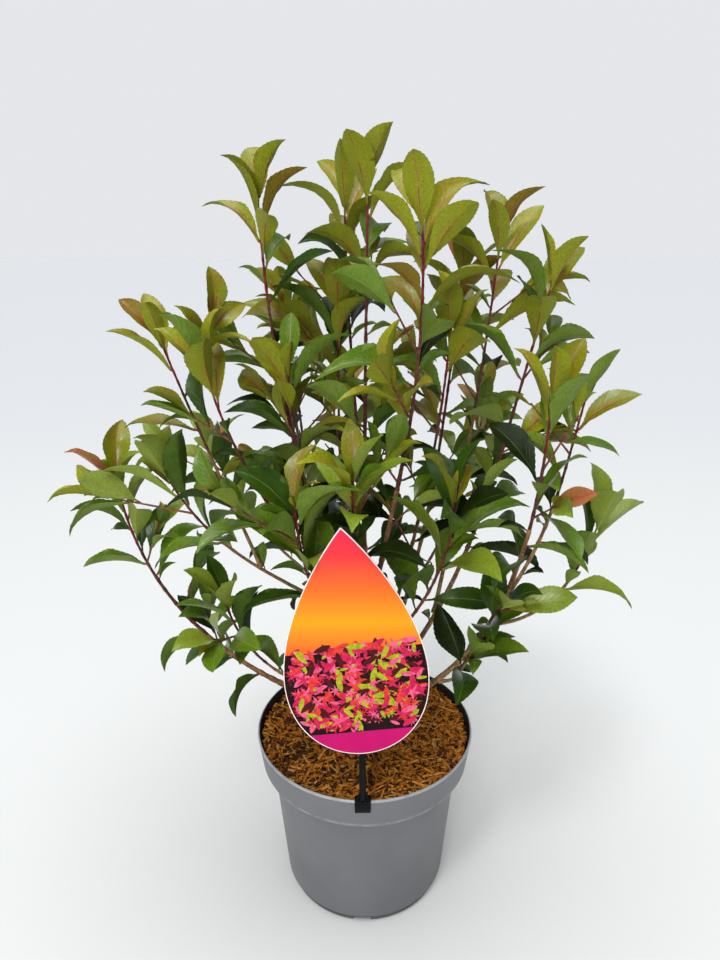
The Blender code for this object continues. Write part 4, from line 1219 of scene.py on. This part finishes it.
def makeSoil():
    inset = potValues["wall"] + gap
    top = potValues["height"] - soilValues["drop"] - 0.003
    wall = [point for point in potInside(inset) if point[1] < top]
    rim = wall[-1][0] + 0.0015
    rings = mulchValues["rings"]
    surface = [(rim * (1 - ring / rings), top) for ring in range(rings + 1)]
    wall[0] = (wall[0][0] - soilValues["drawn"], wall[0][1])
    wall[1] = (wall[1][0] - soilValues["drawn"], wall[1][1])
    bm = turned([(0, inset)] + wall + surface, mulchValues["sides"])
    for vert in bm.verts:
        if vert.co.z > top - 0.0001 and math.hypot(vert.co.x, vert.co.y) < rim - 0.0005:
            vert.co.z = mulchTop(vert.co.x, vert.co.y) - 0.0008
    mat = newMaterial("mulchDark", (0.030, 0.011, 0.004), (0.080, 0.028, 0.007), 0.95, 160, 0.9, 0.1, 0.0015)
    return addObject("mulch_bed", meshFromBmesh("mulch_bed", bm, 60), mat)


def makeMulch():
    # Loose bark: crumbs, flat chips, long fibres and a few splinters, lying every way.
    draw = random.Random(mulchValues["seed"])
    rim = potInside(potValues["wall"])[-1][0] - mulchValues["edge"]
    bm = bmesh.new()
    bmesh.ops.create_cube(bm, size=1)
    ends = [vert for vert in bm.verts if vert.co.x > 0]
    bmesh.ops.scale(bm, vec=(1, 0.55, 0.7), verts=ends)
    template = templateFrom(bm, lambda face: 0, lambda co: (co.x + 0.5, co.y + 0.5))
    piles = {tone: [] for tone in mulchTones}
    for count, longs, wides, thicks, rises in mulchValues["kinds"].values():
        for index in range(count):
            long = draw.uniform(*longs)
            size = (long, draw.uniform(*wides), draw.uniform(*thicks))
            reach = min(rim * math.sqrt(draw.random()), rim - long * 0.42)
            turn = draw.uniform(0, 2 * math.pi)
            x, y = reach * math.cos(turn), reach * math.sin(turn)
            spin = Matrix.Rotation(draw.uniform(0, math.pi), 3, "Z") @ Matrix.Rotation(draw.gauss(0, 0.22), 3, "Y")
            spin = spin @ Matrix.Rotation(draw.uniform(-0.7, 0.7), 3, "X")
            place = np.array((x, y, mulchTop(x, y) + draw.uniform(*rises)))
            shares = [share for colour, patch, share in mulchTones.values()]
            shares[2] *= 1 - mulchValues["shadeAndDampLeft"] * x / rim  # more dark pieces on the left: painted shade of the tag and leaves, and some dampness
            tone = draw.choices(list(mulchTones), shares)[0]
            if math.hypot(x, y) > stockValues["flare"]:
                piles[tone].append((template["points"] * size) @ np.array(spin).T + place)
    pieces = []
    for tone, pile in piles.items():
        colour, patch, share = mulchTones[tone]
        mesh = meshFromCopies("mulch_" + tone, template, pile, 30)
        mat = newMaterial("mulch" + tone.capitalize(), colour, patch, 0.85, 220, 0.9, 0.1, 0.0004)
        shaderOf(mat).inputs["Specular IOR Level"].default_value = 0.2
        pieces.append(addObject("mulch_" + tone, mesh, mat))
        print("mulch", tone, len(pile))
    return pieces


# Hang tag and its holder
tagValues = {
    "width": 0.150, "height": 0.240, "thickness": 0.0012, "foot": 0.267, "right": 0.002, "roll": -5, "points": 132,
    "border": 0.0009, "bandTop": 0.026, "fieldTop": 0.116, "raise": 0.00010, "layer": 0.0000010, "seed": 5,
    "motifs": {  # count, petals, size, highest
        "leaf": (330, 1, (0.0050, 0.0095), 0.122),
        "flower": (62, 5, (0.0065, 0.0105), 0.122),
        "star": (60, 7, (0.0045, 0.0080), 0.116),
    },
}
holderValues = {
    "left": 0.004, "width": 0.0068, "thickness": 0.0022, "top": 0.470, "lean": 3, "rimWall": 0.0047,
    "clipWidth": 0.0165, "clipDrawn": 0.0148, "clipWall": 0.0018,
}
printTones = {
    # colour, patches, share among leaves, flowers and stars
    "rose": ((0.620, 0.018, 0.090), (0.460, 0.008, 0.055), (4, 5, 4)),
    "coral": ((0.720, 0.050, 0.040), (0.560, 0.018, 0.026), (3, 4, 4)),
    "pink": ((0.780, 0.130, 0.250), (0.660, 0.050, 0.140), (3, 5, 3)),
    "lime": ((0.440, 0.440, 0.016), (0.230, 0.290, 0.008), (4, 0, 1)),
    "wine": ((0.090, 0.004, 0.012), (0.030, 0.010, 0.004), (5, 0, 0)),
}


def tagOutline(inset=0.0):
    # A drop: round below, drawn out to a blunt tip above.
    points = []
    for index in range(tagValues["points"]):
        turn = 2 * math.pi * index / tagValues["points"]
        width = math.sin(turn) * abs(math.sin(turn / 2)) ** 0.9 * (tagValues["width"] / 2 * 1.19 - inset * 1.1)
        points.append((width, (1 + math.cos(turn)) / 2 * (tagValues["height"] - inset * 3) + inset * 1.2))
    return points


def holderFrame():
    lean = Matrix.Rotation(-math.radians(holderValues["lean"]), 4, "X")
    outside = potValues["radius"] + gap + holderValues["clipWall"] / 2
    return Matrix.Translation((-holderValues["left"], -outside, potValues["height"])) @ lean


def tagFrame():
    roll = Matrix.Rotation(math.radians(tagValues["roll"]), 4, "Y")
    forward = -holderValues["thickness"] / 2 - gap
    shift = Matrix.Translation((tagValues["right"], forward, tagValues["foot"] - potValues["height"]))
    return holderFrame() @ shift @ roll


def flatPiece(bm, outline, front, thickness):
    # A flat outline at a distance in front of the card's back, given a thickness to the front.
    corners = [bm.verts.new((x, -front, z)) for x, z in outline]
    face = bm.faces.new(corners)
    raised = bmesh.ops.extrude_face_region(bm, geom=[face])
    moved = [item for item in raised["geom"] if isinstance(item, bmesh.types.BMVert)]
    bmesh.ops.translate(bm, vec=(0, -thickness, 0), verts=moved)


def cardMaterial(name, stops):
    # Printed card: colours that run into each other from the foot up.
    mat = newMaterial(name, (1, 1, 1), (0.9, 0.9, 0.9), 0.4, 60, 0.3, 0.08, 0.00005)
    tree = mat.node_tree
    split = tree.nodes.new("ShaderNodeSeparateXYZ")
    tree.links.new(tree.nodes.new("ShaderNodeTexCoord").outputs["Object"], split.inputs[0])
    height = tree.nodes.new("ShaderNodeMapRange")
    height.inputs["From Min"].default_value = tagValues["foot"]
    height.inputs["From Max"].default_value = tagValues["foot"] + tagValues["height"]
    tree.links.new(split.outputs[2], height.inputs["Value"])
    ramp = tree.nodes.new("ShaderNodeValToRGB")
    tree.links.new(height.outputs["Result"], ramp.inputs["Fac"])
    for index, (at, colour) in enumerate(stops):
        stop = ramp.color_ramp.elements[index] if index < 2 else ramp.color_ramp.elements.new(at)
        stop.position = at
        stop.color = (*colour, 1)
    tree.links.new(ramp.outputs["Color"], shaderOf(mat).inputs["Base Color"])
    shaderOf(mat).inputs["Specular IOR Level"].default_value = 0.1
    return mat


def motifOutline(petals, size, x, z, turn):
    # A ring of pointed petals, or one slim leaf.
    points = []
    steps = 12 if petals == 1 else petals * 6
    for step in range(steps):
        angle = 2 * math.pi * step / steps
        if petals == 1:
            along, wide = size * math.cos(angle), size * 0.34 * math.sin(angle) * abs(math.sin(angle)) ** 0.4
        else:
            reach = size * (0.22 + 0.78 * (1 - abs(math.sin(petals * angle / 2)) ** 0.8))
            along, wide = reach * math.cos(angle), reach * math.sin(angle)
        points.append((
            x + along * math.sin(turn) + wide * math.cos(turn), z + along * math.cos(turn) - wide * math.sin(turn)
        ))
    return points


def tagRoom(inset):
    # How far each way the card reaches at a height.
    side = sorted((z, x) for x, z in tagOutline(inset) if x > 0)
    heights, reach = np.array(side).T
    return lambda z: float(np.interp(z, heights, reach))


def makeTag():
    # A white card with a printed field, a dark lower part crowded with plain flowers, and a foot band.
    thickness, film = tagValues["thickness"], tagValues["raise"]
    border = tagValues["border"]
    shapes = {name: bmesh.new() for name in ("plate", "field", "shade", "band")}
    flatPiece(shapes["plate"], tagOutline(), 0, thickness)
    flatPiece(shapes["field"], tagOutline(border), thickness, film)
    room = tagRoom(border * 1.2)
    low, high = tagValues["bandTop"], tagValues["fieldTop"]
    levels = [sway(low - 0.002, high, step / 16) for step in range(17)]
    right = [(room(level), level) for level in levels]
    flatPiece(shapes["shade"], right + [(-x, z) for x, z in reversed(right)], thickness, film * 1.5)
    foot = [(room(low), low)] + [(x, z) for x, z in tagOutline(border * 1.1) if z < low] + [(-room(low), low)]
    flatPiece(shapes["band"], foot, thickness, film * 4)
    draw = random.Random(tagValues["seed"])
    prints = {tone: bmesh.new() for tone in printTones}
    spots = []
    for row, (count, petals, sizes, highest) in enumerate(tagValues["motifs"].values()):
        shares = [values[2][row] for values in printTones.values()]
        for index in range(count):
            z = draw.uniform(low + 0.006, highest)
            size = draw.uniform(*sizes)
            reach = room(z) - size * 0.9
            spots.append((petals, size, draw.uniform(-reach, reach), z, draw.choices(list(printTones), shares)[0]))
    draw.shuffle(spots)
    for index, (petals, size, x, z, tone) in enumerate(spots):
        raised = film * 2 + index * tagValues["layer"]
        flatPiece(prints[tone], motifOutline(petals, size, x, z, draw.uniform(-3, 3)), thickness, raised)
    stops = (
        (0.0, (0.80, 0.06, 0.03)), (1.0, (0.78, 0.02, 0.08)), (0.45, (0.86, 0.10, 0.02)), (0.60, (0.95, 0.34, 0.01)),
        (0.74, (0.90, 0.15, 0.02)), (0.88, (0.82, 0.04, 0.05)),
    )
    white = newMaterial("cardWhite", (0.86, 0.86, 0.85), (0.80, 0.80, 0.79), 0.35, 60, 0.4)
    colours = {"plate": white, "field": cardMaterial("cardField", stops)}
    colours["shade"] = newMaterial("cardShade", (0.012, 0.002, 0.004), (0.006, 0.006, 0.002), 0.4, 160, 0.9)
    colours["band"] = newMaterial("cardBand", (0.520, 0.004, 0.135), (0.460, 0.004, 0.115), 0.4, 60, 0.4)
    matrix = tagFrame()
    pieces = {}
    for name, bm in [*shapes.items(), *prints.items()]:
        bmesh.ops.transform(bm, matrix=matrix, verts=bm.verts[:])
        bmesh.ops.recalc_face_normals(bm, faces=bm.faces[:])
        if name in printTones:
            colours[name] = newMaterial("print" + name.capitalize(), *printTones[name][:2], 0.4, 300, 0.9, 0.05)
        shaderOf(colours[name]).inputs["Specular IOR Level"].default_value = 0.1
        pieces[name] = addObject("tag_" + name, meshFromBmesh("tag_" + name, bm, 40), colours[name])
    return pieces


def addBlock(bm, size, centre, matrix, bevel):
    # A moulded block with its edges rounded.
    block = bmesh.new()
    bmesh.ops.create_cube(block, size=1)
    bmesh.ops.scale(block, vec=size, verts=block.verts[:])
    bmesh.ops.bevel(
        block, geom=block.edges[:], offset=bevel, segments=2, profile=0.5, affect="EDGES", material=-1
    )
    bmesh.ops.translate(block, vec=centre, verts=block.verts[:])
    bmesh.ops.transform(block, matrix=matrix, verts=block.verts[:])
    mesh = bpy.data.meshes.new("block")
    block.to_mesh(mesh)
    block.free()
    bm.from_mesh(mesh)
    bpy.data.meshes.remove(mesh)


def makeHolder():
    # A saddle over the rim and a channelled strip that stands on it, its foot spread.
    wall, wide = holderValues["clipWall"], holderValues["clipWidth"]
    radius, height = potValues["radius"], potValues["height"]
    outside = radius + gap
    inside = radius - holderValues["rimWall"]
    saddle = outside + wall - inside
    level = Matrix.Translation((-holderValues["left"], 0, 0))
    drop = holderValues["clipDrawn"]
    middle = height + gap + wall - drop / 2
    stripHeight = holderValues["top"] - height
    strip = (holderValues["width"], holderValues["thickness"], stripHeight)
    frameAt = holderFrame()
    bm = bmesh.new()
    lid = (0, -(inside + saddle / 2) + wall / 2, height + gap + wall / 2)
    addBlock(bm, (wide, saddle + wall, wall), lid, level, 0.0004)
    addBlock(bm, (wide, wall, drop), (0, -(outside + wall / 2), middle), level, 0.0005)
    addBlock(bm, (wide, wall, drop * 0.55), (0, -(inside - wall / 2), middle + drop * 0.225), level, 0.0004)
    addBlock(bm, (strip[0], strip[1] * 0.5, strip[2]), (0, 0, stripHeight / 2 + gap), frameAt, 0.0002)
    for side in (-1, 1):
        edge = (side * (strip[0] / 2 - 0.0007), 0, stripHeight / 2 + gap)
        addBlock(bm, (0.0014, strip[1], strip[2]), edge, frameAt, 0.0003)
        for step in range(4):
            tread = (0.0030, strip[1], 0.0030 * (4 - step))
            addBlock(bm, tread, (side * (0.0030 + 0.0009 * step), 0, tread[2] / 2 + gap), frameAt, 0.0003)
    mat = newMaterial("holderBlack", (0.0014, 0.0016, 0.0021), (0.003, 0.003, 0.004), 0.24, 120, 0.6)
    shaderOf(mat).inputs["Specular IOR Level"].default_value = 0.1
    return addObject("holder_moulding", meshFromBmesh("holder_moulding", bm, 40), mat)


# The whole plant
groups = {"mottle": mottleGroup(), "veins": veinGroup(), "bark": barkGroup(), "scuffsAndHighlight": scuffAndHighlightGroup()}
setCamera()
makeStage()
curves = makeCurves()
space, kept, missed, twigs = growCrown(curves)
kept, twigs = prune(kept, twigs)
missed = [(name, leaf) for name, leaf in missed if leaf["twig"] < 0]
leaves = kept + growFiner(curves, twigs, space, missed)
foliageNodes = ["foliage_" + name for name in shoots]
boughNodes = ["bough_" + name for name in shoots]
for piece in makeLeaves(leaves):
    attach(piece, "root")
wood = makeWood(curves, twigs, leaves)
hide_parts(*boughNodes)
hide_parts(*foliageNodes)
for name, piece in wood.items():
    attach(piece, "root")
stock = makeStock()
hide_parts("stock")
pot = makePot()
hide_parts("pot")
soil = makeSoil()
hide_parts("soil")
tag = makeTag()
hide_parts("tag_card")
holder = makeHolder()
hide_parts("tag_holder")
for piece in (stock, pot, soil, holder):
    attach(piece, "root")
for piece in makeMulch():
    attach(piece, "root")
for piece in tag.values():
    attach(piece, "root")
